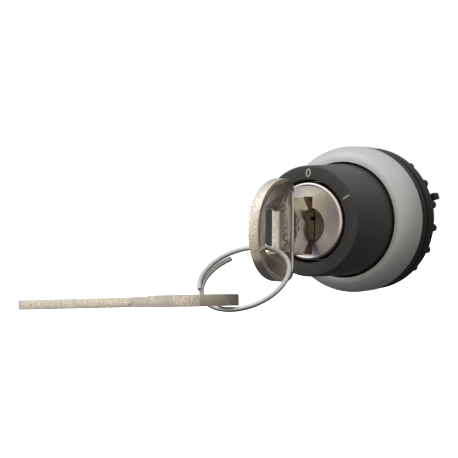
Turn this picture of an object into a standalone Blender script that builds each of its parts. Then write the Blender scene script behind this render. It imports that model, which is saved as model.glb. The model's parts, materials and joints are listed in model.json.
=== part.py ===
"""Key-operated selector switch for a 22 mm panel hole, with its key ring and two keys.

Frame: the switch's axis lies along Y and the operator faces -Y. The origin is the centre of the
panel's front surface, where the gasket seats. +Z is up, towards the "0" mark.
Lengths below are in millimetres and turn into metres where a mesh is made.
"""

import math

import bmesh
import bpy
from mathutils import Matrix, Vector

MM = 0.001

# Front parts, from the operator's side back to the panel at y = 0.
FACE_Y = -23.0
FACE_RADIUS = 10.7
KNOB_BASE_Y = -9.2
KNOB_BASE_RADIUS = 11.2
KNOB_EDGE = 0.4
BEZEL_RADIUS = 14.85
BEZEL_REAR_Y = -3.1
BEZEL_SHOULDER_Y = -4.4
BEZEL_INNER_RADIUS = 11.5
BEZEL_FRONT_Y = -9.3
BEZEL_CROWN_POWER = 0.9
BEZEL_CAVITY_RADIUS = 13.7
COLLAR_RADIUS = 11.3
COLLAR_FRONT_Y = -8.3
FLANGE_FRONT_Y = -2.95
FLANGE_REAR_Y = -0.85
FLANGE_STEP_RADIUS = BEZEL_CAVITY_RADIUS - 0.35
GASKET_RADIUS = 14.4
GASKET_GAP = 0.1

# Marks inlaid in the knob's face.
ZERO_Z = 9.28
ZERO_HALF_WIDTH = 0.53
ZERO_HALF_HEIGHT = 0.82
ZERO_LEAN_DEG = 8.0
ZERO_STROKE = 0.26
BAR_INNER = 8.7
BAR_OUTER = 10.25
BAR_WIDTH = 0.24
LEGEND_DEPTH = 0.18
POCKET_GAP = 0.05

# Threaded shank behind the panel.
THREAD_RADIUS = 11.05
THREAD_ROOT_RADIUS = 10.5
THREAD_PITCH = 1.5
THREAD_FADE = 0.8
THREAD_SLEEVE_BORE = 10.0
SHANK_END_Y = 10.8
BODY_BORE_RADIUS = 9.75
BODY_CAVITY_RADIUS = 9.05
LUG_RADIUS = 12.3
LUG_FOOT_RADIUS = 10.1
LUG_WIDTH = 2.6
LUG_END_Y = 1.2
SEAT_INNER_RADIUS = LUG_RADIUS + 0.3
CLIP_SEAT_RADIUS = 8.6
CLIP_SEAT_FRONT_Y = 0.9
CLIP_SEAT_Y = 1.9

# Ring nut and its washer.
WASHER_INNER_RADIUS = LUG_RADIUS + 0.35
WASHER_OUTER_RADIUS = 13.6
WASHER_FRONT_Y = 0.15
WASHER_REAR_Y = 0.9
NUT_FRONT_Y = 0.25
NUT_REAR_Y = 5.9
NUT_FRONT_RADIUS = 14.7
NUT_REAR_RADIUS = 13.5
NUT_TAPER_Y = 2.8
NUT_BORE_RADIUS = 11.3
NUT_BORE_FRONT_Y = 2.0
NUT_RIB_COUNT = 18
NUT_RIB_RADIUS = 0.83
NUT_RIB_FRONT_Y = 3.0
NUT_RIB_REAR_Y = 5.5
NUT_RIB_CIRCLE = 13.45
NUT_FIRST_RIB_DEG = 17.0
NUT_TAB_DEG = 70.6
NUT_TAB_WIDTH = 1.3
NUT_TAB_FOOT_RADIUS = 13.2
NUT_TAB_RADIUS = 14.8
NUT_TAB_PROUD = 0.7

# Lock.
HOUSING_BORE_RADIUS = 8.0
HOUSING_SEAT_Y = -0.8
HOUSING_SEAT_RADIUS = 7.2
HOUSING_END_Y = 3.4
STEM_RADIUS = 9.6
STEM_SHOULDER_Y = -8.6
STEM_STEP_Y = 0.6
STEM_END_RADIUS = 8.45
STEM_CLIP_GROOVE = (2.0, 2.8)
STEM_CLIP_GROOVE_RADIUS = 7.85
STEM_SEAL_Y = -6.3
STEM_SEAL_GROOVE_RADIUS = 8.9
STEM_SEAL_GROOVE_HALF = 0.7
SEAL_SECTION_RADIUS = 0.36
DISC_RADIUS = 7.5
DISC_FRONT_Y = -23.18
DISC_REAR_Y = -19.4
PLUG_RADIUS = 5.6
PLUG_END_Y = 3.0
TAIL_END_Y = 5.5
TAIL_HALF = 2.8
KEY_RECESS_RADIUS = 3.3
KEY_RECESS_DEPTH = 1.2
BLADE_SLOT_END_Y = 2.1
SCREW_HOLE_START_Y = 2.5
ROTOR_SEAL_Y = -18.6
ROTOR_SEAL_GROOVE_RADIUS = 4.85
ROTOR_SEAL_GROOVE_HALF = 0.45
ROTOR_CLIP_GROOVE = (-2.05, -1.1)
SHANK_SLOT_END_Y = -19.8
SLOT_SIDE_GAP = 0.13
SLOT_END_GAP = 0.15
BLADE_SLOT_END_GAP = 0.25
SCREW_HOLE_RADIUS = 1.35
STATOR_RADIUS = 7.9
STATOR_BORE_RADIUS = 5.75
STATOR_FRONT_Y = -19.2
STATOR_REAR_Y = -2.15
RELIEF_RADIUS = 6.6
RELIEF_MIDDLES_DEG = (60.0, 240.0)
RELIEF_HALF_SPREAD_DEG = 67
GROOVE_RADIUS = 5.0
DETENT_Y = -4.0
DETENT_BALL_RADIUS = 1.0
DETENT_POCKET_RADIUS = DETENT_BALL_RADIUS + 0.12
DETENT_POCKET_DEPTH = 9.35
DETENT_GROOVE_HALF = 1.1
WAFER_COUNT = 5
WAFER_FIRST_Y = -16.9
WAFER_PITCH = 2.2
WAFER_THICKNESS = 0.9
WAFER_HALF_WIDTH = 2.9
WAFER_SLOT = 1.1
WAFER_WINDOW_HALF = 1.35
WAFER_LUG_REACH = 4.3
WAFER_LUG = (0.8, 1.65)
WAFER_SPRING_START = (3.75, -2.1)
WAFER_SPRING_LENGTH = 2.8

# Key. Its own frame runs from the bow's front edge (y = 0) to the tip, with the bow centred on z = 0.
BOW_LENGTH = 12.9
BOW_HALF_HEIGHT = 9.6
BOW_WAIST = 10.3
BOW_THICKNESS = 2.0
BOW_RIM = 1.05
BOW_FIELD_DEPTH = 0.2
HOLE_FRONT = 3.5
HOLE_REAR = 7.5
HOLE_BOTTOM = -3.75
HOLE_TOP = 3.9
HOLE_EASE = 0.8
BLADE_THICKNESS = 1.75
BLADE_RISE = 0.6
SHANK_HALF_HEIGHT = 5.4
SHANK_END = 16.5
BLADE_START = 18.7
BLADE_HALF_HEIGHT = 2.9
KEY_LENGTH = 42.3
BITTING_DEPTHS = (0.5, 0.85, 0.4, 0.75, 0.55)

# Where the first key sits in the lock.
KEY_1_FRONT_Y = -42.9
KEY_1_BOW_Z = -1.45
BLADE_Z = KEY_1_BOW_Z + BLADE_RISE

# Key ring: one and a quarter turns of spring wire, hooked through both bows.
RING_CENTRE = Vector((-0.15, -45.28, -9.61))
RING_NORMAL = Vector((0.045, -0.597, 0.801)).normalized()
RING_RADIUS = 8.2
RING_WIRE = 0.92
RING_START_DEG = 136.0
RING_END_DEG = 576.0
RING_CLIMB = 1.45

# The second key lies level on the ring, its tip pointing away to the left.
KEY_2_FRONT = Vector((1.3, -50.7, -13.05))
KEY_2_ALONG = Vector((-0.977, -0.204, -0.061)).normalized()
KEY_2_ACROSS = Vector((0.199, -0.977, 0.082))

# Contact side.
PLUNGER_OFFSET = 6.4
PLUNGER_RADIUS = 1.25
PLUNGER_TRAVEL = 3.0
PLUNGER_NOSE_Y = 5.9
TURN_DEG = 60.0
CAM_RADIUS = 8.2
CAM_FRONT_Y = 3.7
CAM_REST_Y = 5.0
CAM_CONTACT_Y = 5.6
COVER_FRONT_Y = 9.3
COVER_REAR_Y = 13.6
COVER_RADIUS = 9.7
COVER_SPIGOT_RADIUS = 8.9
COVER_WALL = 0.5
COVER_FLOOR = 1.3
COVER_HOLE_RADIUS = 2.2


# ---------------------------------------------------------------- helpers


def clear_scene():
    for old in list(bpy.data.objects):
        bpy.data.objects.remove(old, do_unlink=True)


def material(name, colour, roughness, metallic=0.0):
    made = bpy.data.materials.new(name)
    made.use_nodes = True
    shader = made.node_tree.nodes["Principled BSDF"]
    shader.inputs["Base Color"].default_value = (*colour, 1.0)
    shader.inputs["Roughness"].default_value = roughness
    shader.inputs["Metallic"].default_value = metallic
    return made


def object_from(name, bm, slot=None):
    """Turns a bmesh into a named object, smooth over its round stretches."""
    bmesh.ops.recalc_face_normals(bm, faces=bm.faces)
    mesh = bpy.data.meshes.new(name)
    bm.to_mesh(mesh)
    bm.free()
    return object_with(name, mesh, slot)


def object_with(name, data, slot=None):
    made = bpy.data.objects.new(name, data)
    bpy.context.scene.collection.objects.link(made)
    if slot:
        data.materials.append(slot)
    if data.id_type == "MESH":
        data.shade_smooth()
        data.set_sharp_from_angle(angle=math.radians(30))
    return made


def turned(profile, segments=32):
    """A profile of (radius, y) points, in order round its closed outline, spun about the Y axis."""
    bm = bmesh.new()
    points = [bm.verts.new((0.0, y * MM, radius * MM)) for radius, y in profile]
    edges = [
        bm.edges.new((points[i], points[(i + 1) % len(points)]))
        for i in range(len(points))
        if profile[i][0] > 0 or profile[(i + 1) % len(points)][0] > 0
    ]
    bmesh.ops.spin(
        bm, geom=points + edges, cent=(0, 0, 0), axis=(0, 1, 0),
        angle=2 * math.pi, steps=segments, use_merge=True,
    )
    bmesh.ops.remove_doubles(bm, verts=bm.verts, dist=1e-7)
    return bm


def arc(centre_a, centre_b, radius, start_deg, end_deg, steps):
    """Points on a circle, both ends included."""
    found = []
    for i in range(steps + 1):
        angle = math.radians(start_deg + (end_deg - start_deg) * i / steps)
        found.append((centre_a + radius * math.cos(angle), centre_b + radius * math.sin(angle)))
    return found


def circle(radius, steps, centre=(0.0, 0.0)):
    return arc(centre[0], centre[1], radius, 0, 360 * (steps - 1) / steps, steps - 1)


def box_outline(a_low, a_high, b_low, b_high):
    return [(a_low, b_low), (a_high, b_low), (a_high, b_high), (a_low, b_high)]


def plate(outline, holes, y_low, y_high):
    """A flat piece with an (x, z) outline and through holes, standing between two y values."""
    bm = bmesh.new()
    edges = []
    for loop in [outline, *holes]:
        points = [bm.verts.new((x * MM, y_low * MM, z * MM)) for x, z in loop]
        edges += [bm.edges.new((points[i - 1], points[i])) for i in range(len(points))]
    bmesh.ops.triangle_fill(bm, edges=edges, use_beauty=True)
    grown = bmesh.ops.extrude_face_region(bm, geom=bm.faces[:])
    risen = [item for item in grown["geom"] if isinstance(item, bmesh.types.BMVert)]
    bmesh.ops.translate(bm, verts=risen, vec=(0, (y_high - y_low) * MM, 0))
    return bm


def block(low, high):
    """A box between two corners."""
    bm = bmesh.new()
    bmesh.ops.create_cube(bm, size=1.0)
    size = Vector(high) - Vector(low)
    middle = (Vector(high) + Vector(low)) / 2
    bmesh.ops.scale(bm, verts=bm.verts, vec=size * MM)
    bmesh.ops.translate(bm, verts=bm.verts, vec=middle * MM)
    return bm


def rod_x(radius, x_low, x_high, y, steps=12):
    """A cylinder along X, used as a radial hole or pocket."""
    bm = bmesh.new()
    middle = Vector(((x_low + x_high) / 2, y, 0)) * MM
    bmesh.ops.create_cone(
        bm, cap_ends=True, segments=steps, radius1=radius * MM, radius2=radius * MM,
        depth=(x_high - x_low) * MM,
        matrix=Matrix.Translation(middle) @ Matrix.Rotation(math.pi / 2, 4, "Y"),
    )
    return bm


def combine(target, tool_mesh, operation):
    """Adds or cuts one closed bmesh. Both are enlarged to millimetres while that happens."""
    tool = object_from(target.name + "_tool", tool_mesh)
    enlarge = Matrix.Scale(1 / MM, 4)
    target.data.transform(enlarge)
    tool.data.transform(enlarge)
    step = target.modifiers.new("shape", "BOOLEAN")
    step.operation = operation
    step.object = tool
    step.solver = "MANIFOLD"
    graph = bpy.context.evaluated_depsgraph_get()
    result = bpy.data.meshes.new_from_object(target.evaluated_get(graph))
    target.modifiers.clear()
    result.transform(enlarge.inverted())
    target.data = result
    bpy.data.objects.remove(tool, do_unlink=True)
    result.shade_smooth()
    result.set_sharp_from_angle(angle=math.radians(30))


def cut(target, tool_mesh):
    combine(target, tool_mesh, "DIFFERENCE")


def add(target, tool_mesh):
    combine(target, tool_mesh, "UNION")


def wire(name, points, radius, slot, sides_step=0):
    """A round wire with closed ends through the given points, in millimetres."""
    curve = bpy.data.curves.new(name, "CURVE")
    curve.dimensions = "3D"
    curve.bevel_depth = radius * MM
    curve.bevel_resolution = sides_step
    curve.use_fill_caps = True
    spline = curve.splines.new("POLY")
    spline.points.add(len(points) - 1)
    for spot, point in zip(spline.points, points):
        spot.co = (*(Vector(point) * MM), 1.0)
    return object_with(name, curve, slot)


def coil(name, start, along, length, radius, wire_radius, turns, slot, per_turn=8):
    """A compression spring from a start point in a given direction."""
    along = Vector(along).normalized()
    side = along.orthogonal().normalized()
    other = along.cross(side)
    count = int(turns * per_turn)
    rise = length - 2 * wire_radius
    points = []
    for i in range(count + 1):
        angle = 2 * math.pi * i / per_turn
        height = wire_radius + rise * i / count
        around = side * math.cos(angle) + other * math.sin(angle)
        points.append(Vector(start) + along * height + around * radius)
    return wire(name, points, wire_radius, slot)


def o_ring(name, mean_radius, section_radius, y, slot):
    outline = [(mean_radius + a, y + b) for a, b in circle(section_radius, 6)]
    return object_from(name, turned(outline, 24), slot)


# ---------------------------------------------------------------- front and body


def make_bezel(slot):
    """The convex silver ring, a shell with a rounded lip next to the knob."""
    crown = []
    for i in range(8):
        angle = math.radians(90 * i / 7)
        outward = math.cos(angle) ** BEZEL_CROWN_POWER
        forward = math.sin(angle) ** BEZEL_CROWN_POWER
        radius = BEZEL_INNER_RADIUS + (BEZEL_RADIUS - BEZEL_INNER_RADIUS) * outward
        crown.append((radius, BEZEL_SHOULDER_Y - (BEZEL_SHOULDER_Y - BEZEL_FRONT_Y) * forward))
    inside = [
        (BEZEL_INNER_RADIUS, BEZEL_FRONT_Y + 1.6),
        (BEZEL_INNER_RADIUS + 0.8, BEZEL_FRONT_Y + 2.1),
        (BEZEL_CAVITY_RADIUS - 0.1, BEZEL_SHOULDER_Y - 0.4),
        (BEZEL_CAVITY_RADIUS, BEZEL_REAR_Y),
    ]
    return object_from("bezel_ring", turned([(BEZEL_RADIUS, BEZEL_REAR_Y), *crown, *inside], 40), slot)


def thread_sleeve(y_low, y_high, inner_radius, segments=32, per_pitch=2):
    """A tube whose outside is a helical ridge that dies away at both ends."""
    rows = int((y_high - y_low) / THREAD_PITCH * per_pitch)
    bm = bmesh.new()

    def outer(y, turn):
        phase = ((y - y_low) / THREAD_PITCH - turn) % 1.0
        ridge = max(0.0, 1.0 - abs(phase - 0.5) * 3.2)
        fade = min(1.0, (y - y_low) / THREAD_FADE, (y_high - y) / THREAD_FADE)
        return THREAD_ROOT_RADIUS + (THREAD_RADIUS - THREAD_ROOT_RADIUS) * ridge * fade

    loops = []
    for row in range(rows + 1):
        y = y_low + (y_high - y_low) * row / rows
        loops.append([(outer(y, i / segments), y) for i in range(segments)])
    loops.append([(inner_radius, y_high)] * segments)
    loops.append([(inner_radius, y_low)] * segments)
    rings = []
    for loop in loops:
        ring = []
        for i, (radius, y) in enumerate(loop):
            angle = 2 * math.pi * i / segments
            ring.append(bm.verts.new((radius * MM * math.sin(angle), y * MM, radius * MM * math.cos(angle))))
        rings.append(ring)
    for a, ring in enumerate(rings):
        following = rings[(a + 1) % len(rings)]
        for i in range(segments):
            j = (i + 1) % segments
            bm.faces.new((ring[i], ring[j], following[j], following[i]))
    return bm


def make_mounting_body(slot):
    """The black flange that carries the bezel, with the threaded shank behind the panel."""
    tube_radius = THREAD_ROOT_RADIUS - 0.15
    outline = [
        (BODY_BORE_RADIUS, COLLAR_FRONT_Y),
        (COLLAR_RADIUS, COLLAR_FRONT_Y),
        (COLLAR_RADIUS, BEZEL_SHOULDER_Y - 0.1),
        (FLANGE_STEP_RADIUS - 0.05, BEZEL_SHOULDER_Y),
        (FLANGE_STEP_RADIUS, FLANGE_FRONT_Y),
        (BEZEL_RADIUS - 0.15, FLANGE_FRONT_Y),
        (BEZEL_RADIUS, FLANGE_FRONT_Y + 0.15),
        (BEZEL_RADIUS, FLANGE_REAR_Y - 0.2),
        (BEZEL_RADIUS - 0.2, FLANGE_REAR_Y),
        (tube_radius, FLANGE_REAR_Y),
        (tube_radius, SHANK_END_Y - 0.3),
        (tube_radius - 0.3, SHANK_END_Y),
        (BODY_CAVITY_RADIUS, SHANK_END_Y),
        (BODY_CAVITY_RADIUS, CLIP_SEAT_Y),
        (CLIP_SEAT_RADIUS, CLIP_SEAT_Y),
        (CLIP_SEAT_RADIUS, CLIP_SEAT_FRONT_Y),
        (BODY_BORE_RADIUS, CLIP_SEAT_FRONT_Y),
    ]
    body = object_from("mounting_body", turned(outline), slot)
    add(body, thread_sleeve(FLANGE_REAR_Y + 0.5, SHANK_END_Y - 0.45, THREAD_SLEEVE_BORE))
    lug_low = (-LUG_WIDTH / 2, FLANGE_REAR_Y - 0.4, LUG_FOOT_RADIUS)
    add(body, block(lug_low, (LUG_WIDTH / 2, LUG_END_Y, LUG_RADIUS)))
    return body


def make_gasket(slot):
    outline = [
        (SEAT_INNER_RADIUS, FLANGE_REAR_Y + GASKET_GAP),
        (GASKET_RADIUS, FLANGE_REAR_Y + GASKET_GAP),
        (GASKET_RADIUS, -0.1),
        (GASKET_RADIUS - 0.1, 0.0),
        (SEAT_INNER_RADIUS, 0.0),
    ]
    return object_from("panel_gasket", turned(outline), slot)


def make_housing(slot):
    """The fixed dark knob that holds the lock, with its stem, seal groove and clip groove."""
    groove_front, groove_rear = STEM_CLIP_GROOVE
    outline = [
        (HOUSING_BORE_RADIUS, FACE_Y + 0.15),
        (HOUSING_BORE_RADIUS + 0.15, FACE_Y),
        *arc(FACE_RADIUS - KNOB_EDGE, FACE_Y + KNOB_EDGE, KNOB_EDGE, -90, 0, 3),
        (KNOB_BASE_RADIUS, KNOB_BASE_Y),
        (KNOB_BASE_RADIUS, STEM_SHOULDER_Y - 0.2),
        (KNOB_BASE_RADIUS - 0.2, STEM_SHOULDER_Y),
        (STEM_RADIUS, STEM_SHOULDER_Y),
        (STEM_RADIUS, STEM_SEAL_Y - STEM_SEAL_GROOVE_HALF),
        (STEM_SEAL_GROOVE_RADIUS, STEM_SEAL_Y - STEM_SEAL_GROOVE_HALF),
        (STEM_SEAL_GROOVE_RADIUS, STEM_SEAL_Y + STEM_SEAL_GROOVE_HALF),
        (STEM_RADIUS, STEM_SEAL_Y + STEM_SEAL_GROOVE_HALF),
        (STEM_RADIUS, STEM_STEP_Y),
        (STEM_END_RADIUS, STEM_STEP_Y),
        (STEM_END_RADIUS, groove_front),
        (STEM_CLIP_GROOVE_RADIUS, groove_front),
        (STEM_CLIP_GROOVE_RADIUS, groove_rear),
        (STEM_END_RADIUS, groove_rear),
        (STEM_END_RADIUS, HOUSING_END_Y),
        (HOUSING_SEAT_RADIUS, HOUSING_END_Y),
        (HOUSING_SEAT_RADIUS, HOUSING_SEAT_Y),
        (HOUSING_BORE_RADIUS, HOUSING_SEAT_Y),
    ]
    housing = object_from("lock_housing", turned(outline), slot)
    cut(housing, rod_x(DETENT_POCKET_RADIUS, 7.0, DETENT_POCKET_DEPTH, DETENT_Y))
    for pocket in (legend_zero(POCKET_GAP, -0.4), legend_bar(POCKET_GAP, -0.4)):
        cut(housing, pocket)
    return housing


def legend_zero(grow, front):
    """The figure 0 above the lock, as a flat ring that leans a little. grow widens it for its pocket."""
    lean = Matrix.Rotation(-math.radians(ZERO_LEAN_DEG), 2)

    def loop(extra):
        found = []
        for i in range(16):
            angle = math.radians(22.5 * i)
            across = (ZERO_HALF_WIDTH + extra) * math.sin(angle)
            rise = (ZERO_HALF_HEIGHT + extra) * math.cos(angle)
            point = lean @ Vector((across, rise))
            found.append((point.x, ZERO_Z + point.y))
        return found

    return plate(loop(grow), [loop(-ZERO_STROKE - grow)], FACE_Y + front, FACE_Y + LEGEND_DEPTH + grow)


def legend_bar(grow, front):
    """The mark I, a radial bar at the end of the key's turn."""
    bm = block(
        (-BAR_WIDTH / 2 - grow, FACE_Y + front, BAR_INNER - grow),
        (BAR_WIDTH / 2 + grow, FACE_Y + LEGEND_DEPTH + grow, BAR_OUTER + grow),
    )
    turn = Matrix.Rotation(math.radians(TURN_DEG), 3, "Y")
    bmesh.ops.rotate(bm, verts=bm.verts, cent=(0, 0, 0), matrix=turn)
    return bm


def make_legends(slot):
    object_from("legend_0", legend_zero(0.0, 0.01), slot)
    object_from("legend_1", legend_bar(0.0, 0.01), slot)


def open_ring(inner, outer, gap_deg, y_low, y_high, steps=16):
    """A flat snap ring with a gap at its foot."""
    first = -90 + gap_deg / 2
    last = 270 - gap_deg / 2
    outline = arc(0, 0, outer, first, last, steps) + arc(0, 0, inner, last, first, steps)
    return plate(outline, [], y_low, y_high)


def make_rear_cover(slot):
    """The cup that closes the shank and guides the two plungers."""
    outline = [
        (COVER_SPIGOT_RADIUS - COVER_WALL, COVER_FRONT_Y),
        (COVER_SPIGOT_RADIUS, COVER_FRONT_Y),
        (COVER_SPIGOT_RADIUS, SHANK_END_Y + 0.15),
        (COVER_RADIUS, SHANK_END_Y + 0.15),
        (COVER_RADIUS, COVER_REAR_Y - 0.4),
        (COVER_RADIUS - 0.4, COVER_REAR_Y),
        (COVER_HOLE_RADIUS, COVER_REAR_Y),
        (COVER_HOLE_RADIUS, COVER_REAR_Y - COVER_FLOOR),
        (COVER_SPIGOT_RADIUS - COVER_WALL, COVER_REAR_Y - COVER_FLOOR),
    ]
    cover = object_from("rear_cover", turned(outline), slot)
    for side in (-1, 1):
        hole = circle(PLUNGER_RADIUS + 0.15, 12, (side * PLUNGER_OFFSET, 0.0))
        cut(cover, plate(hole, [], COVER_REAR_Y - 2.0, COVER_REAR_Y + 1.0))
    return cover


# ---------------------------------------------------------------- ring nut


def make_washer(slot):
    outline = box_outline(WASHER_INNER_RADIUS, WASHER_OUTER_RADIUS, WASHER_FRONT_Y, WASHER_REAR_Y)
    return object_from("thrust_washer", turned(outline), slot)


def make_ring_nut(slot):
    """A tapered plastic nut with grip ribs, a recess for the washer and a release tab."""
    recess_radius = WASHER_OUTER_RADIUS + 0.15
    recess_y = WASHER_REAR_Y + 0.15
    outline = [
        (WASHER_INNER_RADIUS, NUT_BORE_FRONT_Y),
        (WASHER_INNER_RADIUS, recess_y),
        (recess_radius, recess_y),
        (recess_radius, NUT_FRONT_Y),
        (NUT_FRONT_RADIUS - 0.2, NUT_FRONT_Y),
        (NUT_FRONT_RADIUS, NUT_FRONT_Y + 0.2),
        (NUT_FRONT_RADIUS, NUT_TAPER_Y),
        (NUT_REAR_RADIUS, NUT_REAR_Y - 0.5),
        (NUT_REAR_RADIUS - 0.45, NUT_REAR_Y),
        (NUT_BORE_RADIUS + 0.3, NUT_REAR_Y),
        (NUT_BORE_RADIUS, NUT_REAR_Y - 0.3),
        (NUT_BORE_RADIUS, NUT_BORE_FRONT_Y),
    ]
    nut = object_from("ring_nut", turned(outline, 36), slot)
    for i in range(NUT_RIB_COUNT):
        angle = math.radians(NUT_FIRST_RIB_DEG + 360 * i / NUT_RIB_COUNT)
        centre = (NUT_RIB_CIRCLE * math.sin(angle), NUT_RIB_CIRCLE * math.cos(angle))
        add(nut, plate(circle(NUT_RIB_RADIUS, 8, centre), [], NUT_RIB_FRONT_Y, NUT_RIB_REAR_Y))
    tab_low = (-NUT_TAB_WIDTH / 2, NUT_REAR_Y - 1.3, NUT_TAB_FOOT_RADIUS)
    tab = block(tab_low, (NUT_TAB_WIDTH / 2, NUT_REAR_Y + NUT_TAB_PROUD, NUT_TAB_RADIUS))
    turn = Matrix.Rotation(math.radians(NUT_TAB_DEG), 3, "Y")
    bmesh.ops.rotate(tab, verts=tab.verts, cent=(0, 0, 0), matrix=turn)
    add(nut, tab)
    return nut


# ---------------------------------------------------------------- lock


def make_rotor(slot):
    """The nickel disc and plug in one piece, with keyway, wafer slots, grooves and square tail."""
    clip_front, clip_rear = ROTOR_CLIP_GROOVE
    outline = [
        (0.0, DISC_FRONT_Y),
        (DISC_RADIUS - 0.5, DISC_FRONT_Y),
        (DISC_RADIUS, DISC_FRONT_Y + 0.35),
        (DISC_RADIUS, DISC_REAR_Y),
        (PLUG_RADIUS, DISC_REAR_Y),
        (PLUG_RADIUS, ROTOR_SEAL_Y - ROTOR_SEAL_GROOVE_HALF),
        (ROTOR_SEAL_GROOVE_RADIUS, ROTOR_SEAL_Y - ROTOR_SEAL_GROOVE_HALF),
        (ROTOR_SEAL_GROOVE_RADIUS, ROTOR_SEAL_Y + ROTOR_SEAL_GROOVE_HALF),
        (PLUG_RADIUS, ROTOR_SEAL_Y + ROTOR_SEAL_GROOVE_HALF),
        (PLUG_RADIUS, DETENT_Y - DETENT_GROOVE_HALF),
        (GROOVE_RADIUS, DETENT_Y - DETENT_GROOVE_HALF),
        (GROOVE_RADIUS, DETENT_Y + DETENT_GROOVE_HALF),
        (PLUG_RADIUS, DETENT_Y + DETENT_GROOVE_HALF),
        (PLUG_RADIUS, clip_front),
        (GROOVE_RADIUS, clip_front),
        (GROOVE_RADIUS, clip_rear),
        (PLUG_RADIUS, clip_rear),
        (PLUG_RADIUS, PLUG_END_Y),
        (0.0, PLUG_END_Y),
    ]
    rotor = object_from("lock_rotor", turned(outline), slot)
    add(rotor, block((-TAIL_HALF, PLUG_END_Y - 0.5, -TAIL_HALF), (TAIL_HALF, TAIL_END_Y, TAIL_HALF)))
    slot_half = BLADE_THICKNESS / 2 + SLOT_SIDE_GAP
    shank_half = SHANK_HALF_HEIGHT + SLOT_END_GAP
    blade_half = BLADE_HALF_HEIGHT + BLADE_SLOT_END_GAP
    recess = circle(KEY_RECESS_RADIUS, 20, (0.0, BLADE_Z))
    cut(rotor, plate(recess, [], DISC_FRONT_Y - 1.0, DISC_FRONT_Y + KEY_RECESS_DEPTH))
    for half, front, rear in (
        (shank_half, DISC_FRONT_Y - 1.0, SHANK_SLOT_END_Y),
        (blade_half, SHANK_SLOT_END_Y - 0.2, BLADE_SLOT_END_Y),
    ):
        cut(rotor, block((-slot_half, front, BLADE_Z - half), (slot_half, rear, BLADE_Z + half)))
    for i in range(WAFER_COUNT):
        cut(rotor, wafer_slot(i))
    cut(rotor, plate(circle(SCREW_HOLE_RADIUS, 12), [], SCREW_HOLE_START_Y, TAIL_END_Y + 1.0))
    return rotor


def wafer_y(index):
    return WAFER_FIRST_Y + WAFER_PITCH * index


def wafer_side(index):
    """Wafers spring up and down by turns: 1 for the ones that rise, -1 for the ones that drop."""
    return 1 if index % 2 == 0 else -1


def wafer_slot(index):
    """The plug's slot for one wafer, with room beside it for the lug and its spring."""
    half = WAFER_HALF_WIDTH + 0.1
    side = wafer_side(index)
    beyond = PLUG_RADIUS + 1.4
    reach = WAFER_LUG_REACH + 0.2
    foot = WAFER_SPRING_START[1] - 0.1
    head = WAFER_LUG[1] + 1.1
    outline = [
        (half, -beyond),
        (half, foot),
        (reach, foot),
        (reach, head),
        (half, head),
        (half, beyond),
        (-half, beyond),
        (-half, -beyond),
    ]
    turned_outline = [(side * x, side * z) for x, z in outline]
    middle = wafer_y(index)
    return plate(turned_outline, [], middle - WAFER_SLOT / 2, middle + WAFER_SLOT / 2)


def make_wafer(index, slot):
    """A brass wafer: round ends, a window for the blade, and a lug that its spring lifts."""
    side = wafer_side(index)
    radius = PLUG_RADIUS - 0.15
    spread = math.degrees(math.asin(WAFER_HALF_WIDTH / radius))
    lug_foot, lug_top = WAFER_LUG
    outline = [
        *arc(0, 0, radius, 90 + spread, 90 - spread, 4),
        (WAFER_HALF_WIDTH, lug_top),
        (WAFER_LUG_REACH, lug_top),
        (WAFER_LUG_REACH, lug_foot),
        (WAFER_HALF_WIDTH, lug_foot),
        *arc(0, 0, radius, -90 + spread, -90 - spread, 4),
    ]
    outline = [(side * x, side * z) for x, z in outline]
    clear = BLADE_HALF_HEIGHT + 0.9
    window = box_outline(-WAFER_WINDOW_HALF, WAFER_WINDOW_HALF, BLADE_Z - clear, BLADE_Z + clear)
    middle = wafer_y(index)
    front = middle - WAFER_THICKNESS / 2
    name = f"wafer_{index + 1}"
    return object_from(name, plate(outline, [window], front, front + WAFER_THICKNESS), slot)


def make_wafer_spring(index, slot):
    side = wafer_side(index)
    across, foot = WAFER_SPRING_START
    start = (side * across, wafer_y(index), side * foot)
    name = f"wafer_spring_{index + 1}"
    return coil(name, start, (0, 0, side), WAFER_SPRING_LENGTH, 0.36, 0.1, 3, slot, 6)


def make_stator(slot):
    """The fixed die-cast barrel, with relief grooves that the wafers reach into."""
    outline = [
        (STATOR_BORE_RADIUS, STATOR_FRONT_Y),
        (STATOR_RADIUS - 0.2, STATOR_FRONT_Y),
        (STATOR_RADIUS, STATOR_FRONT_Y + 0.2),
        (STATOR_RADIUS, STATOR_REAR_Y),
        (STATOR_BORE_RADIUS, STATOR_REAR_Y),
    ]
    stator = object_from("lock_stator", turned(outline), slot)
    for middle_deg in RELIEF_MIDDLES_DEG:
        low = middle_deg - RELIEF_HALF_SPREAD_DEG
        high = middle_deg + RELIEF_HALF_SPREAD_DEG
        wedge = [(0.0, 0.0), *arc(0, 0, RELIEF_RADIUS, low, high, 16)]
        cut(stator, plate(wedge, [], -17.9, -5.7))
    cut(stator, rod_x(DETENT_BALL_RADIUS + 0.12, 4.5, 8.5, DETENT_Y))
    return stator


def make_detent(ball_slot, spring_slot):
    bm = bmesh.new()
    middle = Vector((6.15, DETENT_Y, 0)) * MM
    bmesh.ops.create_icosphere(
        bm, subdivisions=2, radius=DETENT_BALL_RADIUS * MM, matrix=Matrix.Translation(middle)
    )
    object_from("detent_ball", bm, ball_slot)
    coil("detent_spring", (7.25, DETENT_Y, 0), (1, 0, 0), 1.95, 0.66, 0.13, 3, spring_slot)


# ---------------------------------------------------------------- contact side


def cam_height(angle_deg):
    """The cam's rear surface: two ramps that lift the plungers as the lock turns to I."""
    lift_per_degree = PLUNGER_TRAVEL / TURN_DEG
    for plunger_deg in (90.0, 270.0):
        behind = plunger_deg - angle_deg
        if -10 <= behind <= TURN_DEG + 10:
            return CAM_CONTACT_Y + lift_per_degree * behind
    return CAM_REST_Y


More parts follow.
